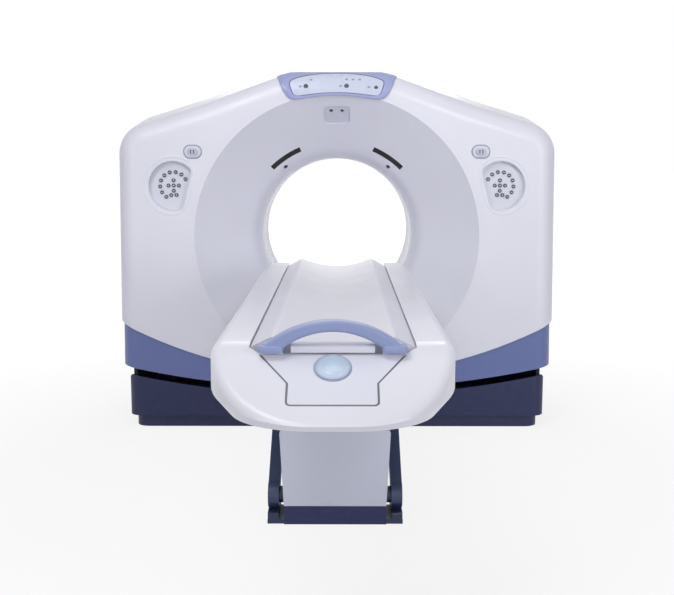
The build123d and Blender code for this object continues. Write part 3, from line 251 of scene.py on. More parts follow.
def moulded(name, colour, rough, vary=0.018, coat=0.12, peel=0.00001, dust=None):
    """Painted moulded shell: cloudiness, orange peel, uneven gloss and marks near the floor."""
    material, tree, shader = new_material(name)
    tone = mottled(tree, linear(colour), vary)
    if dust:
        tone = scuffs(tree, tone, linear(dust), *DUST_MARKS)
    tree.links.new(tone, shader.inputs["Base Color"])
    uneven_gloss(tree, shader, noise(tree, *WIPE_MARKS), rough, MOULDED_GLOSS_BAND)
    if peel:
        bump(tree, shader, noise(tree, *ORANGE_PEEL), peel)
    shader.inputs["Coat Weight"].default_value = coat
    shader.inputs["Coat Roughness"].default_value = COAT_ROUGHNESS
    return material


def powder(name, colour, rough, vary=0.05, grain=0.00009, scuff=None):
    """Powder coat: pebbled grain, tone that varies and rubbed marks near the floor."""
    material, tree, shader = new_material(name)
    base = linear(colour)
    speck = spread(tree, noise(tree, *POWDER_SPECKS), 0, SPECK_SHARE, SPECK_BAND)
    tone = blend(tree, speck, mottled(tree, base, vary), shaded(base, SPECK_TONE))
    if scuff:
        tone = scuffs(tree, tone, linear(scuff), *PAINT_MARKS)
    tree.links.new(tone, shader.inputs["Base Color"])
    uneven_gloss(tree, shader, noise(tree, *POWDER_GLOSS), rough, POWDER_GLOSS_BAND)
    bump(tree, shader, noise(tree, *POWDER_GRAIN), grain)
    return material


def metal(name, colour, rough, stretch, vary=0.08):
    """Ground or turned metal: streaks along one direction and stains in the gloss."""
    material, tree, shader = new_material(name)
    base = linear(colour)
    streak = noise(tree, *METAL_STREAKS, stretch)
    share = spread(tree, streak, 0, 1)
    tone = blend(tree, share, shaded(base, 1 - vary), shaded(base, 1 + vary))
    stain = spread(tree, noise(tree, *METAL_STAINS), 0, STAIN_SHARE, STAIN_BAND)
    tone = blend(tree, stain, tone, shaded(base, STAIN_TONE))
    tree.links.new(tone, shader.inputs["Base Color"])
    uneven_gloss(tree, shader, streak, rough, METAL_GLOSS_BAND)
    bump(tree, shader, streak, METAL_DEPTH)
    shader.inputs["Metallic"].default_value = 1.0
    return material


def rubber(name, colour, rough, vary=0.1):
    """Rubber or soft keys: dull, with a close grain and pale bloom."""
    material, tree, shader = new_material(name)
    base = linear(colour)
    bloom = spread(tree, noise(tree, *RUBBER_BLOOM), 0, BLOOM_SHARE, STAIN_BAND)
    tone = mottled(tree, base, vary * BLOOM_VARIATION)
    tone = blend(tree, bloom, tone, shaded(base, BLOOM_TONE))
    tree.links.new(tone, shader.inputs["Base Color"])
    uneven_gloss(tree, shader, noise(tree, *RUBBER_GLOSS), rough, RUBBER_GLOSS_BAND)
    bump(tree, shader, noise(tree, *RUBBER_GRAIN), RUBBER_DEPTH)
    return material


def gloss(name, colour, rough, vary=0.06):
    """Dark glossy window with smears in its gloss."""
    material, tree, shader = new_material(name)
    tree.links.new(mottled(tree, linear(colour), vary), shader.inputs["Base Color"])
    uneven_gloss(tree, shader, noise(tree, *WINDOW_SMEARS), rough, WINDOW_GLOSS_BAND)
    bump(tree, shader, noise(tree, *WINDOW_WAVES), WINDOW_DEPTH)
    shader.inputs["Coat Weight"].default_value = WINDOW_COAT
    return material


def domed(name, dome, rim, place, radius):
    """Disc of two tones, a pale dome inside a darker rim; the dome is painted lighter at its
    middle and darker towards its edge as painted highlight and shade.
    """
    material, tree, shader = new_material(name)
    away = distance_from(tree, place)
    edge = spread(tree, away, 0, 1, (radius - DOME_EDGE, radius + DOME_EDGE))
    # Painted highlight at the dome's middle fading to painted shade at its edge
    middle = spread(tree, away, 0, 1, (0.0, radius))
    inside = blend(tree, middle, *(shaded(linear(dome), tone) for tone in DOME_PAINTED_LIGHT_TONES))
    tone = blend(tree, edge, inside, linear(rim))
    cloud = spread(tree, noise(tree, *DOME_CLOUDS), 0, DOME_CLOUD_SHARE)
    tone = blend(tree, cloud, tone, shaded(linear(dome), DOME_CLOUD_TONE))
    tree.links.new(tone, shader.inputs["Base Color"])
    uneven_gloss(tree, shader, noise(tree, *DOME_GLOSS), DOME_ROUGHNESS, DOME_GLOSS_BAND)
    bump(tree, shader, noise(tree, *DOME_GRAIN), DOME_DEPTH)
    shader.inputs["Coat Weight"].default_value = WINDOW_COAT
    return material


looks = {
    "white_shell": moulded("white_shell", (229, 229, 239), 0.36, dust=(196, 196, 208)),
    "table_white": moulded("table_white", (231, 231, 239), 0.33),
    "cradle_white": moulded("cradle_white", (224, 223, 233), 0.34, vary=0.024, peel=0),
    "deck_white": moulded("deck_white", (227, 228, 238), 0.33),
    "blue_shell": moulded("blue_shell", (100, 113, 165), 0.38, vary=0.03, dust=(92, 102, 142)),
    "bezel_blue": moulded("bezel_blue", (158, 164, 208), 0.32, vary=0.03),
    "handle_blue": moulded("handle_blue", (140, 152, 194), 0.34, vary=0.045, peel=0.00002),
    "display_face": moulded("display_face", (204, 210, 229), 0.26, vary=0.03, coat=0.3),
    "lamp_plate": moulded("lamp_plate", (210, 212, 225), 0.34, vary=0.03),
    "window_sheet": moulded("window_sheet", (204, 205, 220), 0.26, vary=0.03, coat=0.3),
    "pod_tray": moulded("pod_tray", (218, 219, 230), 0.46, vary=0.03, peel=0.00003),
    "stop_grey": moulded("stop_grey", (190, 192, 206), 0.45, vary=0.03, peel=0.00002),
    "navy_paint": powder("navy_paint", (18, 29, 70), 0.5, scuff=(44, 54, 88)),
    "arm_paint": powder("arm_paint", (48, 58, 88), 0.4, scuff=(88, 96, 122)),
    "frame_paint": powder("frame_paint", (34, 43, 72), 0.5, scuff=(130, 134, 146)),
    "drive_paint": powder("drive_paint", (74, 78, 92), 0.48, scuff=(110, 112, 122)),
    "box_paint": powder("box_paint", (168, 172, 184), 0.45),
    "grey_panel": powder("grey_panel", (203, 206, 220), 0.42, vary=0.025, grain=0.00005,
                         scuff=(150, 154, 172)),
    "cast_weight": powder("cast_weight", (66, 66, 72), 0.6, vary=0.12, grain=0.0003),
    "ground_steel": metal("ground_steel", (190, 192, 198), 0.3, (0.06, 1, 1)),
    "machined_alloy": metal("machined_alloy", (196, 198, 206), 0.34, (1, 0.06, 1)),
    "brass_track": metal("brass_track", (204, 170, 104), 0.3, (1, 8.0, 1)),
    "belt_rubber": rubber("belt_rubber", (34, 34, 38), 0.72),
    "key_rubber": rubber("key_rubber", (78, 80, 96), 0.55),
    "black_gloss": gloss("black_gloss", (14, 14, 18), 0.12),
    "lens_dark": gloss("lens_dark", (58, 60, 70), 0.14),
    "ink_dark": rubber("ink_dark", (70, 74, 92), 0.5),
    "ink_mid": rubber("ink_mid", (150, 154, 178), 0.5),
    # Colour of the painted shade round the display window
    "slate_edge_shade": rubber("slate_edge_shade", (112, 118, 152), 0.45),
    "seam_grey": rubber("seam_grey", (112, 112, 118), 0.5),
    "ink_pale": rubber("ink_pale", (214, 216, 226), 0.5),
    "disc_dome": domed("disc_dome", (204, 222, 240), (176, 184, 208), DISC_PLACE,
                       DISC_DOME_RADIUS),
}

node_looks = {
    "white_shell": ("front_cover", "front_flare", "rear_cover", "rear_flare"),
    "table_white": ("table_shell", "under_pan"),
    "blue_shell": ("lower_front_cover", "lower_rear_cover"),
    "navy_paint": ("base_front_cover", "base_rear_cover", "table_kick_cover", "floor_duct_cover"),
    "arm_paint": ("lift_outer_arms", "lift_inner_arms"),
    "window_sheet": ("scan_window",),
    "bezel_blue": ("display_bezel",),
    "display_face": ("display_panel",),
    "lamp_plate": ("breath_light_panel",),
    "black_gloss": ("laser_windows",),
    "pod_tray": ("control_pods", "stop_bezels"),
    "key_rubber": ("control_keys",),
    "stop_grey": ("stop_button_left", "stop_button_right"),
    "frame_paint": ("gantry_floor_plate", "tilt_pedestal_left", "tilt_pedestal_right",
                    "tilt_frame", "cover_brackets", "table_chassis", "table_base_frame"),
    "ground_steel": ("anchor_bolts", "trunnion_shafts", "main_bearing_outer",
                     "main_bearing_inner", "upper_rollers", "lower_rollers"),
    "drive_paint": ("tilt_gearmotor", "lift_gearmotor", "drive_motor", "cradle_drive_unit"),
    "machined_alloy": ("rotor_drum", "drive_pulley", "cradle_rails", "xray_tube",
                       "heat_exchanger"),
    "brass_track": ("slip_ring",),
    "box_paint": ("brush_block", "collimator", "detector_array", "hv_tank", "rotor_electronics"),
    "cast_weight": ("counterweight",),
    "belt_rubber": ("drive_belt", "cradle_drive_roller"),
    "grey_panel": ("table_front_panel",),
    "deck_white": ("foot_deck_panel",),
    "disc_dome": ("domed_disc",),
    "cradle_white": ("cradle",),
    "handle_blue": ("cradle_handle",),
}
for look, names in node_looks.items():
    for name in names:
        node_mesh = nodes[name].data
        node_mesh.materials.clear()
        node_mesh.materials.append(looks[look])

# Forms that the added pieces are made of
LATHE_SEGMENTS = 28
BEAD_STEPS = 6
TILE_SHOULDER = 0.6
CORNER_STEPS = 6
OVAL_STEPS = 20
SPLIT_DEGREES = 35


def surface(name):
    """Search tree of a node's faces."""
    mesh = nodes[name].data
    corners = [vertex.co for vertex in mesh.vertices]
    return BVHTree.FromPolygons(corners, [face.vertices for face in mesh.polygons])


def seat(tree, origin, heading):
    """Point on a surface, and the direction that faces the viewer there."""
    place, facing, _, _ = tree.ray_cast(Vector(origin), Vector(heading))
    if facing.dot(Vector(heading)) > 0:
        facing = -facing
    return place, facing


def seat_from_front(tree, x, z):
    """Point on a surface that faces the front, and its facing."""
    return seat(tree, (x, IN_FRONT, z), FORWARD)


def frame_at(place, facing):
    """Matrix with Z along the facing and Y near upright."""
    across = Vector((0, 0, 1)).cross(facing).normalized()
    rise = facing.cross(across)
    rows = Matrix((across, rise, facing)).transposed().to_4x4()
    return Matrix.Translation(place) @ rows


def full_turn(count):
    """Angles evenly round a circle."""
    return [2 * math.pi * step / count for step in range(count)]


def skin(bm, rings, closed=False):
    """Quads between rings of points, round to the first where closed, or else with end caps."""
    rings = [[bm.verts.new(spot) for spot in ring] for ring in rings]
    pairs = list(zip(rings, rings[1:]))
    if closed:
        pairs.append((rings[-1], rings[0]))
    for low, high in pairs:
        for step in range(len(low)):
            after = (step + 1) % len(low)
            bm.faces.new((low[step], low[after], high[after], high[step]))
    if not closed:
        bm.faces.new(list(reversed(rings[0])))
        bm.faces.new(rings[-1])


def lathe(bm, matrix, profile):
    """Closed turned form from a profile of radius and height."""
    turns = full_turn(LATHE_SEGMENTS)
    skin(bm, [[matrix @ Vector((radius * math.cos(turn), radius * math.sin(turn), height))
               for turn in turns] for radius, height in profile])


def tile(bm, matrix, outline, sink, height, edge):
    """Thin raised mark with a sloped edge, from an outline in the plane."""
    spots = [Vector(spot) for spot in outline]
    centre = sum(spots, Vector((0, 0))) / len(spots)
    levels = ((1, -sink), (1, height * TILE_SHOULDER), (edge, height))
    skin(bm, [[matrix @ Vector((*centre.lerp(spot, share), level)) for spot in spots]
              for share, level in levels])


def bead(bm, seats, width, height, sink, closed=True):
    """Half-round bead along points on a surface, each with its facing."""
    path = [place for place, _ in seats]
    count = len(path)
    arc = [math.pi * step / BEAD_STEPS for step in range(BEAD_STEPS + 1)]
    rings = []
    for step, (place, facing) in enumerate(seats):
        before = path[step - 1] if closed or step else place
        after = path[(step + 1) % count] if closed or step < count - 1 else place
        side = facing.cross((after - before).normalized()).normalized() * (width / 2)
        ring = [place + side * math.cos(turn) + facing * (height * math.sin(turn)) for turn in arc]
        rings.append(ring + [place + side * way - facing * sink for way in SIDES])
    skin(bm, rings, closed)


def piece(name, bm, look, body):
    """Scene object from a mesh in the part's frame, riding a body."""
    bmesh.ops.recalc_face_normals(bm, faces=bm.faces)
    mesh = bpy.data.meshes.new(name)
    bm.to_mesh(mesh)
    bm.free()
    for face in mesh.polygons:
        face.use_smooth = True
    made = bpy.data.objects.new(name, mesh)
    bpy.context.scene.collection.objects.link(made)
    mesh.materials.append(looks[look])
    split = made.modifiers.new("split", "EDGE_SPLIT")
    split.split_angle = math.radians(SPLIT_DEGREES)
    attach(made, body)


def rounded_outline(half_width, half_height, corner, steps=CORNER_STEPS):
    """Outline of a rectangle with round corners."""
    spots = []
    for turn, (right, top) in enumerate(((1, 1), (-1, 1), (-1, -1), (1, -1))):
        for step in range(steps + 1):
            angle = math.pi / 2 * (turn + step / steps)
            x = right * (half_width - corner) + corner * math.cos(angle)
            y = top * (half_height - corner) + corner * math.sin(angle)
            spots.append((x, y))
    return spots


def oval(length, width):
    """Outline of a slot with round ends."""
    radius = width / 2
    spots = []
    for side, start in ((1, math.pi / 2), (-1, math.pi * 1.5)):
        for step in range(OVAL_STEPS + 1):
            angle = start - math.pi * step / OVAL_STEPS
            x = side * (length / 2 - radius) + radius * math.cos(angle)
            spots.append((x, radius * math.sin(angle)))
    return spots


def smoothed(spots, rounds):
    """Closed outline with its corners worn down."""
    count = len(spots)
    for _ in range(rounds):
        spots = [(spots[step - 1] + spots[step] * 2 + spots[(step + 1) % count]) / 4
                 for step in range(count)]
    return spots


# Display above the bore: distances across and, from a level on the front, up over the edge
DISPLAY_OUTER = [(0.0, -0.0015), (0.05, -0.003), (0.093, -0.008), (0.15, -0.016),
                 (0.187, -0.0222), (0.203, -0.019), (0.2149, -0.011), (0.229, 0.011),
                 (0.2405, 0.0315), (0.253, 0.066), (0.261, 0.094), (0.265, 0.13),
                 (0.266, 0.155), (0.261, 0.167), (0.245, 0.173), (0.19, 0.18),
                 (0.09, 0.193), (0.0, 0.2)]
DISPLAY_INNER = [(0.0, 0.0095), (0.05, 0.008), (0.093, 0.004), (0.14, -0.0015),
                 (0.172, -0.006), (0.184, -0.0045), (0.192, 0.004), (0.2, 0.026),
                 (0.2075, 0.049), (0.2065, 0.058), (0.2, 0.066), (0.167, 0.081),
                 (0.12, 0.096), (0.0877, 0.103), (0.045, 0.11), (0.0, 0.112)]
DISPLAY_POINTS = 160
DISPLAY_ROUNDS = 4
DISPLAY_SECTION = ((0, -0.0015), (0, 0.0012), (0.06, 0.003), (0.25, 0.0042), (0.6, 0.0044),
                   (0.9, 0.0036), (1, 0.002), (1, -0.0015))
WINDOW_MIDDLE = (0, 0.055)
WINDOW_SHARES = (1.0, 0.9, 0.75, 0.55, 0.35, 0.15)
WINDOW_BACK = -0.0012
WINDOW_HEIGHT = 0.0022
# Bead of painted shade round the display window, where the frame's edge casts shade
DISPLAY_SHADE_BEAD = (0.0058, 0.0016, 0.001)
DISPLAY_SPOTS = ((-0.134, 0.037, 0.0105), (0.043, 0.038, 0.0105), (0.171, 0.031, 0.0085))
SPOT_PROFILE = ((1, -0.001), (1, 0.0005), (0.86, 0.001), (0.3, 0.0012))
DISPLAY_BARS = ((-0.158, 0.036), (0.017, 0.038), (0.14, 0.033), (-0.112, 0.068),
                (0.043, 0.069), (0.071, 0.069), (0.1, 0.068))
DISPLAY_BAR = (0.0062, 0.0045, 0.0015)
DISPLAY_BAR_RELIEF = (0.001, 0.0008, 0.9)


class DisplayFace:
    """Rounded top edge of the gantry's front, by distance across and up over the edge."""

    flat_low = 1.489
    arc_centre = Vector((0, -0.355, 1.5075))
    arc_radius = 0.085
    arc_end = math.radians(82.5)
    lip_front = -0.4445
    lip_reach = 0.022
    lip_fade = 0.06
    lip_slope = 0.35
    panel_recess = 0.004
    ray_start = 0.12
    ray_reach = 0.2
    most_off = 0.03

    def __init__(self):
        shells = ("display_bezel", "front_cover", "front_flare")
        self.skins = [(surface("display_panel"), self.panel_recess)]
        self.skins += [(surface(name), 0) for name in shells]

    def middle(self, up):
        """Point and facing on the middle section."""
        flat = self.arc_centre.z - self.flat_low
        turn = min(max((up - flat) / self.arc_radius, 0), self.arc_end)
        facing = Vector((0, -math.cos(turn), math.sin(turn)))
        along = Vector((0, math.sin(turn), math.cos(turn)))
        beyond = min(up - flat, 0) + max(up - flat - self.arc_radius * self.arc_end, 0)
        return self.arc_centre + facing * self.arc_radius + along * beyond, facing

    def at(self, across, up, height):
        """Point at a height above the skin, and its facing."""
        place, facing = self.middle(up)
        place = place + ACROSS * across
        hits = []
        for tree, lift in self.skins:
            start = place + facing * self.ray_start
            spot, _, _, distance = tree.ray_cast(start, -facing, self.ray_reach)
            if spot is not None:
                hits.append((distance - lift, spot + facing * lift))
        spot = min(hits, key=lambda hit: hit[0])[1] if hits else place.copy()
        if (spot - place).length > self.most_off:
            spot = place.copy()
        if up < self.lip_fade:
            lip = self.lip_front + max(up - self.lip_reach, 0) * self.lip_slope
            spot.y = min(spot.y, lip)
        return spot + facing * height, facing


def closed_outline(right_half):
    """Smooth closed outline, evenly stepped, from its right half and a mirrored left one."""
    points = [Vector(spot) for spot in right_half]
    points += [Vector((-x, y)) for x, y in reversed(right_half)]
    ends = points[1:] + points[:1]
    lengths = [(end - start).length for start, end in zip(points, ends)]
    spots, run, leg = [], 0.0, 0
    for index in range(DISPLAY_POINTS):
        want = index * sum(lengths) / DISPLAY_POINTS
        while run + lengths[leg] < want:
            run += lengths[leg]
            leg += 1
        share = (want - run) / lengths[leg] if lengths[leg] else 0
        spots.append(points[leg].lerp(ends[leg], share))
    return smoothed(spots, DISPLAY_ROUNDS)


def display_housing():
    """Moulded frame over the edge of the gantry, its window, and a dark bead between them that is
    painted shade cast by the frame's edge.
    """
    face = DisplayFace()
    outer = closed_outline(DISPLAY_OUTER)
    inner = closed_outline(DISPLAY_INNER)
    rim = bmesh.new()
    rings = []
    for share, height in DISPLAY_SECTION:
        spots = [far.lerp(near, share) for far, near in zip(outer, inner)]
        rings.append([face.at(*spot, height)[0] for spot in spots])
    skin(rim, rings, closed=True)
    piece("display_frame", rim, "bezel_blue", "gantry")
    window = bmesh.new()
    hub = Vector(WINDOW_MIDDLE)
    rings = [[face.at(*spot, WINDOW_BACK)[0] for spot in inner]]
    for share in WINDOW_SHARES:
        rings.append([face.at(*hub.lerp(spot, share), WINDOW_HEIGHT)[0] for spot in inner])
    skin(window, rings)
    piece("display_window", window, "display_face", "gantry")
    # Painted shade: a dark bead along the window's edge stands in for the shade that the frame's
    # thickness casts
    line = bmesh.new()
    bead(line, [face.at(*spot, WINDOW_HEIGHT) for spot in inner], *DISPLAY_SHADE_BEAD)
    piece("display_edge_shade", line, "slate_edge_shade", "gantry")
    display_marks(face)


def display_marks(face):
    """Indicator spots and bars on the display window."""
    dark = bmesh.new()
    for x, up, radius in DISPLAY_SPOTS:
        profile = [(radius * share, height) for share, height in SPOT_PROFILE]
        lathe(dark, frame_at(*face.at(x, up, WINDOW_HEIGHT)), profile)
    piece("display_spots", dark, "ink_dark", "gantry")
    pale = bmesh.new()
    for x, up in DISPLAY_BARS:
        at = frame_at(*face.at(x, up, WINDOW_HEIGHT))
        tile(pale, at, rounded_outline(*DISPLAY_BAR), *DISPLAY_BAR_RELIEF)
    piece("display_bars", pale, "ink_mid", "gantry")


# Skirts inside the lower covers, coloured near black as painted shade in the gap under the covers
SKIRT_XS = (0.91, 0.926)
SKIRT_RADIUS = 0.742
SKIRT_REACH = 0.395
SKIRT_TOP = 0.4
SKIRT_FLANGE = 0.006
SKIRT_STEPS = 24
SKIRT_PROBE = 0.15
SKIRT_WALLS = ("lower_front_cover", "lower_rear_cover", "front_cover", "rear_cover")


def tilt_shadow_skirts():
    """Plates inside the lower covers, round the tilt axis, that close the view through, dark as
    painted shade in the gap.
    """
    walls = [surface(name) for name in SKIRT_WALLS]
    skirts = bmesh.new()
    limit = math.asin(SKIRT_REACH / SKIRT_RADIUS)
    turns = [-limit + 2 * limit * step / SKIRT_STEPS for step in range(SKIRT_STEPS + 1)]
    low = [(SKIRT_RADIUS * math.sin(turn), AXIS_HEIGHT - SKIRT_RADIUS * math.cos(turn))
           for turn in turns]
    section = low + [(SKIRT_REACH, SKIRT_TOP), (-SKIRT_REACH, SKIRT_TOP)]
    for side in SIDES:
        skin(skirts, [[Vector((side * x, y, z)) for y, z in section] for x in SKIRT_XS])
        rim = []
        for y, _ in low:
            start = Vector((side * SKIRT_XS[1], y, SKIRT_TOP))
            found = [wall.ray_cast(start, ACROSS * side, SKIRT_PROBE)[0] for wall in walls]
            found = [spot for spot in found if spot is not None]
            rim.append(min(found, key=lambda spot: abs(spot.x), default=start))
        inner = side * sum(SKIRT_XS) / 2
        rim += [Vector((inner, y, SKIRT_TOP)) for y in (SKIRT_REACH, -SKIRT_REACH)]
        skin(skirts, [rim, [spot + Vector((0, 0, SKIRT_FLANGE)) for spot in rim]])
    # The skirts close the gap as a real inner wall would; their near-black rubber colour is
    # painted shade for the gap
    piece("tilt_shadow_skirts", skirts, "belt_rubber", "gantry")


# Foot deck: the right half of its outline in plan, and beads as width, height and sink
DECK_OUTLINE = [(0.0, -2.63), (0.05, -2.63), (0.097, -2.63), (0.1025, -2.6285),
                (0.106, -2.625), (0.107, -2.62), (0.107, -2.595), (0.107, -2.57),
                (0.125, -2.5485), (0.15, -2.5185), (0.1745, -2.489)]
DECK_PROBE = 0.09
DECK_PROBE_YS = (-2.626, -2.49)
DECK_SEAM = (0.0046, 0.0007, 0.002)
DISC_RING_PLACE = (0.0, -2.5255)
DISC_RING_RADIUS = 0.0436
DISC_RING_STEPS = 64
DISC_RING = (0.006, 0.0016, 0.002)


def on_deck(deck, x, y):
    """Point on the deck's slope, and its facing, also at the gap round the deck."""
    near, far = DECK_PROBE_YS
    place, facing = seat(deck, (DECK_PROBE, min(max(y, near), far), ABOVE), DOWN)
    slope = facing.y / facing.z
    return Vector((x, y, place.z - slope * (y - place.y))), facing


def deck_lines():
    """Dark seam round the foot deck and a ring round its domed disc."""
    deck = surface("foot_deck_panel")
    seam = bmesh.new()
    plan = [(-x, y) for x, y in reversed(DECK_OUTLINE[1:])] + DECK_OUTLINE
    bead(seam, [on_deck(deck, x, y) for x, y in plan], *DECK_SEAM, closed=False)
    piece("deck_seam", seam, "seam_grey", "table")
    ring = bmesh.new()
    middle, facing = on_deck(deck, *DISC_RING_PLACE)
    rise = facing.cross(ACROSS)
    seats = []
    for turn in full_turn(DISC_RING_STEPS):
        away = ACROSS * math.cos(turn) + rise * math.sin(turn)
        seats.append((middle + away * DISC_RING_RADIUS, facing))
    bead(ring, seats, *DISC_RING)
    piece("disc_ring", ring, "ink_mid", "table")


# Feet of the pull handle: levels are a height and an inset
FOOT_PLACE = (0.15, -2.483)
FOOT_HALF = (0.0315, 0.0275)
FOOT_CORNER = 0.013
FOOT_CORNER_SHARE = 0.8
FOOT_LEVELS = ((0.7566, 0.0025), (0.7582, 0.0006), (0.7605, 0), (0.769, 0), (0.7725, 0.0012),
               (0.7752, 0.0042), (0.776, 0.009))


def handle_feet():
    """Rounded feet round the two ends of the pull handle."""
    feet = bmesh.new()
    for side in SIDES:
        rings = []
        for z, inset in FOOT_LEVELS:
            corner = FOOT_CORNER - inset * FOOT_CORNER_SHARE
            outline = rounded_outline(*(half - inset for half in FOOT_HALF), corner)
            rings.append([Vector((side * FOOT_PLACE[0] + x, FOOT_PLACE[1] + y, z))
                          for x, y in outline])
        skin(feet, rings)
    piece("handle_feet", feet, "handle_blue", "cradle_slider")


# Lamps above the bore and lenses beside the laser windows: profiles are radius and height
BREATH_PLACE = Vector((0, -0.3572, 1.4071))
BREATH_FACING = Vector((0, -0.7354, -0.6778))
BREATH_UP = Vector((0, -0.6778, 0.7354))
BREATH_PROBE = 0.1
LAMP_PLACE = (0.024, 0.025)
LAMP_LENS = ((0.0062, -0.0005), (0.0062, 0.0006), (0.005, 0.0017), (0.003, 0.0023),
             (0.001, 0.0025))
LAMP_COLLAR = ((0.0088, -0.0006), (0.0088, 0.0008), (0.0082, 0.0013), (0.0068, 0.0013),
               (0.0064, 0.0002))
LASER_RADIUS = 0.392
LASER_ANGLES = (53, 127)
LASER_LENS = ((0.0078, -0.001), (0.0078, 0.0008), (0.006, 0.0022), (0.003, 0.003),
              (0.001, 0.0032))
LASER_RIM = ((0.0108, -0.001), (0.0108, 0.001), (0.0098, 0.0016), (0.0084, 0.0016),
             (0.008, 0.0004))


def lamp_lenses():
    """Domed lenses with a collar on the two lamps above the bore."""
    panel = surface("breath_light_panel")
    lens = bmesh.new()
    collar = bmesh.new()
    above = BREATH_PLACE + BREATH_FACING * BREATH_PROBE + BREATH_UP * LAMP_PLACE[1]
    for side in SIDES:
        at = frame_at(*seat(panel, above + ACROSS * (side * LAMP_PLACE[0]), -BREATH_FACING))
        lathe(lens, at, LAMP_LENS)
        lathe(collar, at, LAMP_COLLAR)
    piece("lamp_lenses", lens, "lens_dark", "gantry")
    piece("lamp_collars", collar, "ink_mid", "gantry")


def laser_lenses():
    """Small lens beside each laser window."""
    flare = surface("front_flare")
    lens = bmesh.new()
    rims = bmesh.new()
    for angle in LASER_ANGLES:
        turn = math.radians(angle)
        x, z = LASER_RADIUS * math.cos(turn), AXIS_HEIGHT + LASER_RADIUS * math.sin(turn)
        at = frame_at(*seat_from_front(flare, x, z))
        lathe(lens, at, LASER_LENS)
        lathe(rims, at, LASER_RIM)
    piece("laser_lenses", lens, "black_gloss", "gantry")
    piece("laser_lens_rims", rims, "ink_mid", "gantry")


# Keypads and stop buttons: reliefs are sink, height and the share of the top
KEY_ARROW = ((0.0048, 0.0), (-0.0028, 0.0042), (-0.0012, 0.0), (-0.0028, -0.0042))
KEY_BAR = rounded_outline(0.0042, 0.0014, 0.0006, 3)
KEY_DOT = rounded_outline(0.003, 0.003, 0.0028, 4)
KEY_RELIEF = (0.0006, 0.0005, 0.9)
KEY_CROSS = 0.023
KEY_ARC_RADIUS = 0.06
KEY_ARC_ANGLES = [28.0 + 26.0 * step for step in range(9)]
KEY_LOW = ((-0.012, -0.042), (0.012, -0.042))
STOP_OVAL = (0.079, 0.057)
STOP_LINE = (0.0045, 0.0016, 0.001)
STOP_BAR_XS = (-0.0065, 0.0065)
STOP_BAR = (0.0022, 0.0085, 0.0012)
STOP_BAR_RELIEF = (0.0005, 0.0006, 0.92)
RIM_RADIUS = 0.132
RIM_CHORD = 0.082
RIM_LEAN = -14.3
RIM_ARC_STEPS = 72
RIM_CHORD_STEPS = 16
RIM_ROUNDS = 40
RIM_BEAD = (0.009, 0.0016, 0.001)


def round_a_circle(radius, degrees):
    """Point at an angle on a circle."""
    turn = math.radians(degrees)
    return radius * math.cos(turn), radius * math.sin(turn)


def key_marks():
    """Pale arrows, bars and dots raised on the keys."""
    keys = surface("control_keys")
    raised = bmesh.new()
    for side in SIDES:
        marks = []
        for angle in (0, 90, 180, 270):
            turned = angle if side > 0 else 180 - angle
            marks.append((round_a_circle(KEY_CROSS, angle), KEY_ARROW, turned))
        marks += [(round_a_circle(KEY_ARC_RADIUS, angle), KEY_BAR, 0) for angle in KEY_ARC_ANGLES]
        marks += [((0, 0), KEY_DOT, 0)]
        marks += [(place, KEY_BAR, 90) for place in KEY_LOW]
        for (x, z), outline, turned in marks:
            seated = seat_from_front(keys, side * (x - POD_PLACE[0]), POD_PLACE[1] + z)
            at = frame_at(*seated) @ Matrix.Rotation(math.radians(turned), 4, "Z")
            tile(raised, at, outline, *KEY_RELIEF)
    piece("key_marks", raised, "ink_pale", "gantry")


def stop_marks():
    """Dark outline round each stop unit and two bars on each button."""
    cover = surface("front_cover")
    lines = bmesh.new()
    for side in SIDES:
        seats = [seat_from_front(cover, side * STOP_PLACE[0] + x, STOP_PLACE[1] + z)
                 for x, z in oval(*STOP_OVAL)]
        bead(lines, seats, *STOP_LINE)
    piece("stop_outlines", lines, "ink_mid", "gantry")
    for side, name in zip(SIDES, ("left", "right")):
        button = surface(f"stop_button_{name}")
        bars = bmesh.new()
        for x in STOP_BAR_XS:
            seated = seat_from_front(button, side * STOP_PLACE[0] + x, STOP_PLACE[1])
            tile(bars, frame_at(*seated), rounded_outline(*STOP_BAR), *STOP_BAR_RELIEF)
        piece(f"stop_bars_{name}", bars, "ink_dark", f"stop_{name}")


def pod_rims():
    """Soft bead on the cover round each keypad pod."""
    cover = surface("front_cover")
    limit = math.acos(RIM_CHORD / RIM_RADIUS)
    sweep = 2 * (math.pi - limit)
    turns = [limit + sweep * step / RIM_ARC_STEPS for step in range(RIM_ARC_STEPS + 1)]
    outline = [Vector((math.cos(turn), math.sin(turn))) * RIM_RADIUS for turn in turns]
    low, high = outline[-1], outline[0]
    outline += [low.lerp(high, step / RIM_CHORD_STEPS) for step in range(1, RIM_CHORD_STEPS)]
    lean = Matrix.Rotation(math.radians(RIM_LEAN), 2)
    outline = [lean @ spot for spot in smoothed(outline, RIM_ROUNDS)]
    rims = bmesh.new()
    for side in SIDES:
        seats = [seat_from_front(cover, side * (POD_PLACE[0] - spot.x), POD_PLACE[1] + spot.y)
                 for spot in outline]
        bead(rims, seats, *RIM_BEAD)
    piece("pod_rims", rims, "white_shell", "gantry")


display_housing()
tilt_shadow_skirts()
deck_lines()
handle_feet()
lamp_lenses()
laser_lenses()
key_marks()
stop_marks()
pod_rims()

# Camera


def make_camera():
    """Camera of the photograph."""
    data = bpy.data.cameras.new("camera")
    data.sensor_width = SENSOR_WIDTH
    data.lens = FOCAL_PIXELS / PHOTO_WIDTH * SENSOR_WIDTH
    camera = bpy.data.objects.new("camera", data)
    bpy.context.scene.collection.objects.link(camera)
    camera.location = CAMERA_PLACE
    camera.rotation_euler = (math.radians(90 - CAMERA_PITCH), 0, math.radians(CAMERA_YAW))
    bpy.context.scene.camera = camera


make_camera()

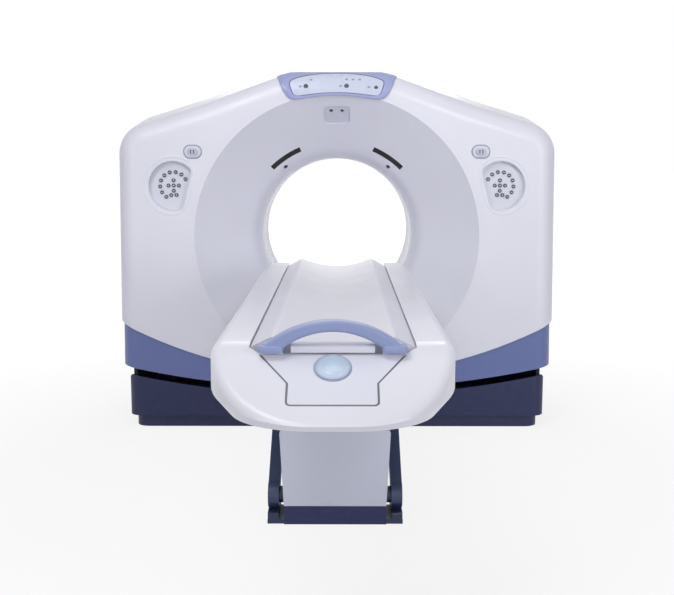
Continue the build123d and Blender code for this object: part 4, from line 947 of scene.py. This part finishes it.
# Floor and light
FLOOR_HALF = 60.0
FLOOR_COLOUR = (0.86, 0.86, 0.87, 1)
FLOOR_ROUGHNESS = 0.8
FLOOR_GLOW = 1.04
FLOOR_MIDDLE = (0, -1.0, 0)
FLOOR_GLOW_SHARE = 0.8
FLOOR_GLOW_BAND = (1.2, 3.4)
SKY_COLOUR = (0.86, 0.88, 1.0, 1)
SKY_STRENGTH = 0.26
BACKGROUND_COLOUR = (1, 1, 1, 1)
LIGHT_MIDDLE = (0, -0.8, 0.8)

# Place, target, width and height in metres, and power in watts
AREA_LIGHTS = {
    "key": ((-1.3, -3.4, 3.8), (0.2, -0.6, 0.8), (1.8, 1.8), 54),
    "front_fill": ((0.8, -12.0, 2.0), LIGHT_MIDDLE, (4.0, 4.0), 60),
    "right_fill": ((5.5, -8.5, 2.0), LIGHT_MIDDLE, (3.0, 3.0), 170),
    "left_fill": ((-5.5, -8.5, 2.0), LIGHT_MIDDLE, (3.0, 3.0), 62),
    "top": ((0.4, -1.6, 5.5), LIGHT_MIDDLE, (3.0, 3.0), 20),
    "rear": ((0, 4.5, 3.5), LIGHT_MIDDLE, (3.0, 2.0), 70),
}
SPOT_PLACE = (1.6, -5.2, 3.2)
SPOT_TARGET = (0.75, -0.44, 0.7)
SPOT_CONE = 46
SPOT_SIZE = 0.4
SPOT_POWER = 150


def seen_directly(tree):
    """One for camera, glossy and transmission rays, zero for the rays that light the object."""
    path = tree.nodes.new("ShaderNodeLightPath")
    total = path.outputs["Is Camera Ray"]
    for ray in ("Is Glossy Ray", "Is Transmission Ray"):
        total = calculated(tree, "MAXIMUM", total, path.outputs[ray])
    return total


def mixed(tree, factor, first, second, out):
    """Mix two shaders into an output."""
    mix = tree.nodes.new("ShaderNodeMixShader")
    tree.links.new(factor, mix.inputs["Fac"])
    tree.links.new(first, mix.inputs[1])
    tree.links.new(second, mix.inputs[2])
    tree.links.new(mix.outputs["Shader"], out.inputs["Surface"])


def make_floor():
    """Pale floor that looks white to the camera and still takes the shadow."""
    mesh = bpy.data.meshes.new("floor")
    corners = [(x * FLOOR_HALF, y * FLOOR_HALF, 0)
               for x, y in ((-1, -1), (1, -1), (1, 1), (-1, 1))]
    mesh.from_pydata(corners, [], [(0, 1, 2, 3)])
    floor = bpy.data.objects.new("floor", mesh)
    bpy.context.scene.collection.objects.link(floor)
    material, tree, shader = new_material("floor_white")
    shader.inputs["Base Color"].default_value = FLOOR_COLOUR
    shader.inputs["Roughness"].default_value = FLOOR_ROUGHNESS
    shader.inputs["Specular IOR Level"].default_value = 0.0
    glow = tree.nodes.new("ShaderNodeEmission")
    glow.inputs["Strength"].default_value = FLOOR_GLOW
    away = distance_from(tree, FLOOR_MIDDLE)
    share = spread(tree, away, FLOOR_GLOW_SHARE, 1, FLOOR_GLOW_BAND)
    share = calculated(tree, "MULTIPLY", seen_directly(tree), share)
    out = next(node for node in tree.nodes if node.type == "OUTPUT_MATERIAL")
    mixed(tree, share, shader.outputs["BSDF"], glow.outputs["Emission"], out)
    mesh.materials.append(material)


def aimed(name, data, place, target):
    """Lamp object that points at a target."""
    lamp = bpy.data.objects.new(name, data)
    bpy.context.scene.collection.objects.link(lamp)
    lamp.location = place
    lamp.rotation_euler = (Vector(target) - Vector(place)).to_track_quat("-Z", "Y").to_euler()


def make_sky():
    """Soft light from all round, behind a background that the camera sees as white."""
    world = bpy.data.worlds.new("studio")
    bpy.context.scene.world = world
    world.use_nodes = True
    tree = world.node_tree
    tree.nodes.clear()
    out = tree.nodes.new("ShaderNodeOutputWorld")
    shades = []
    for colour, strength in ((SKY_COLOUR, SKY_STRENGTH), (BACKGROUND_COLOUR, 1.0)):
        shade = tree.nodes.new("ShaderNodeBackground")
        shade.inputs["Color"].default_value = colour
        shade.inputs["Strength"].default_value = strength
        shades.append(shade.outputs["Background"])
    mixed(tree, seen_directly(tree), *shades, out)


def make_lamps():
    """Studio lamps."""
    for name, (place, target, size, power) in AREA_LIGHTS.items():
        data = bpy.data.lights.new(name, "AREA")
        data.shape = "RECTANGLE"
        data.size, data.size_y = size
        data.energy = power
        aimed(name, data, place, target)
    data = bpy.data.lights.new("right_spot", "SPOT")
    data.spot_size = math.radians(SPOT_CONE)
    data.spot_blend = 1.0
    data.shadow_soft_size = SPOT_SIZE
    data.energy = SPOT_POWER
    aimed("right_spot", data, SPOT_PLACE, SPOT_TARGET)


make_floor()
make_sky()
make_lamps()
bpy.context.scene.view_settings.view_transform = "Standard"
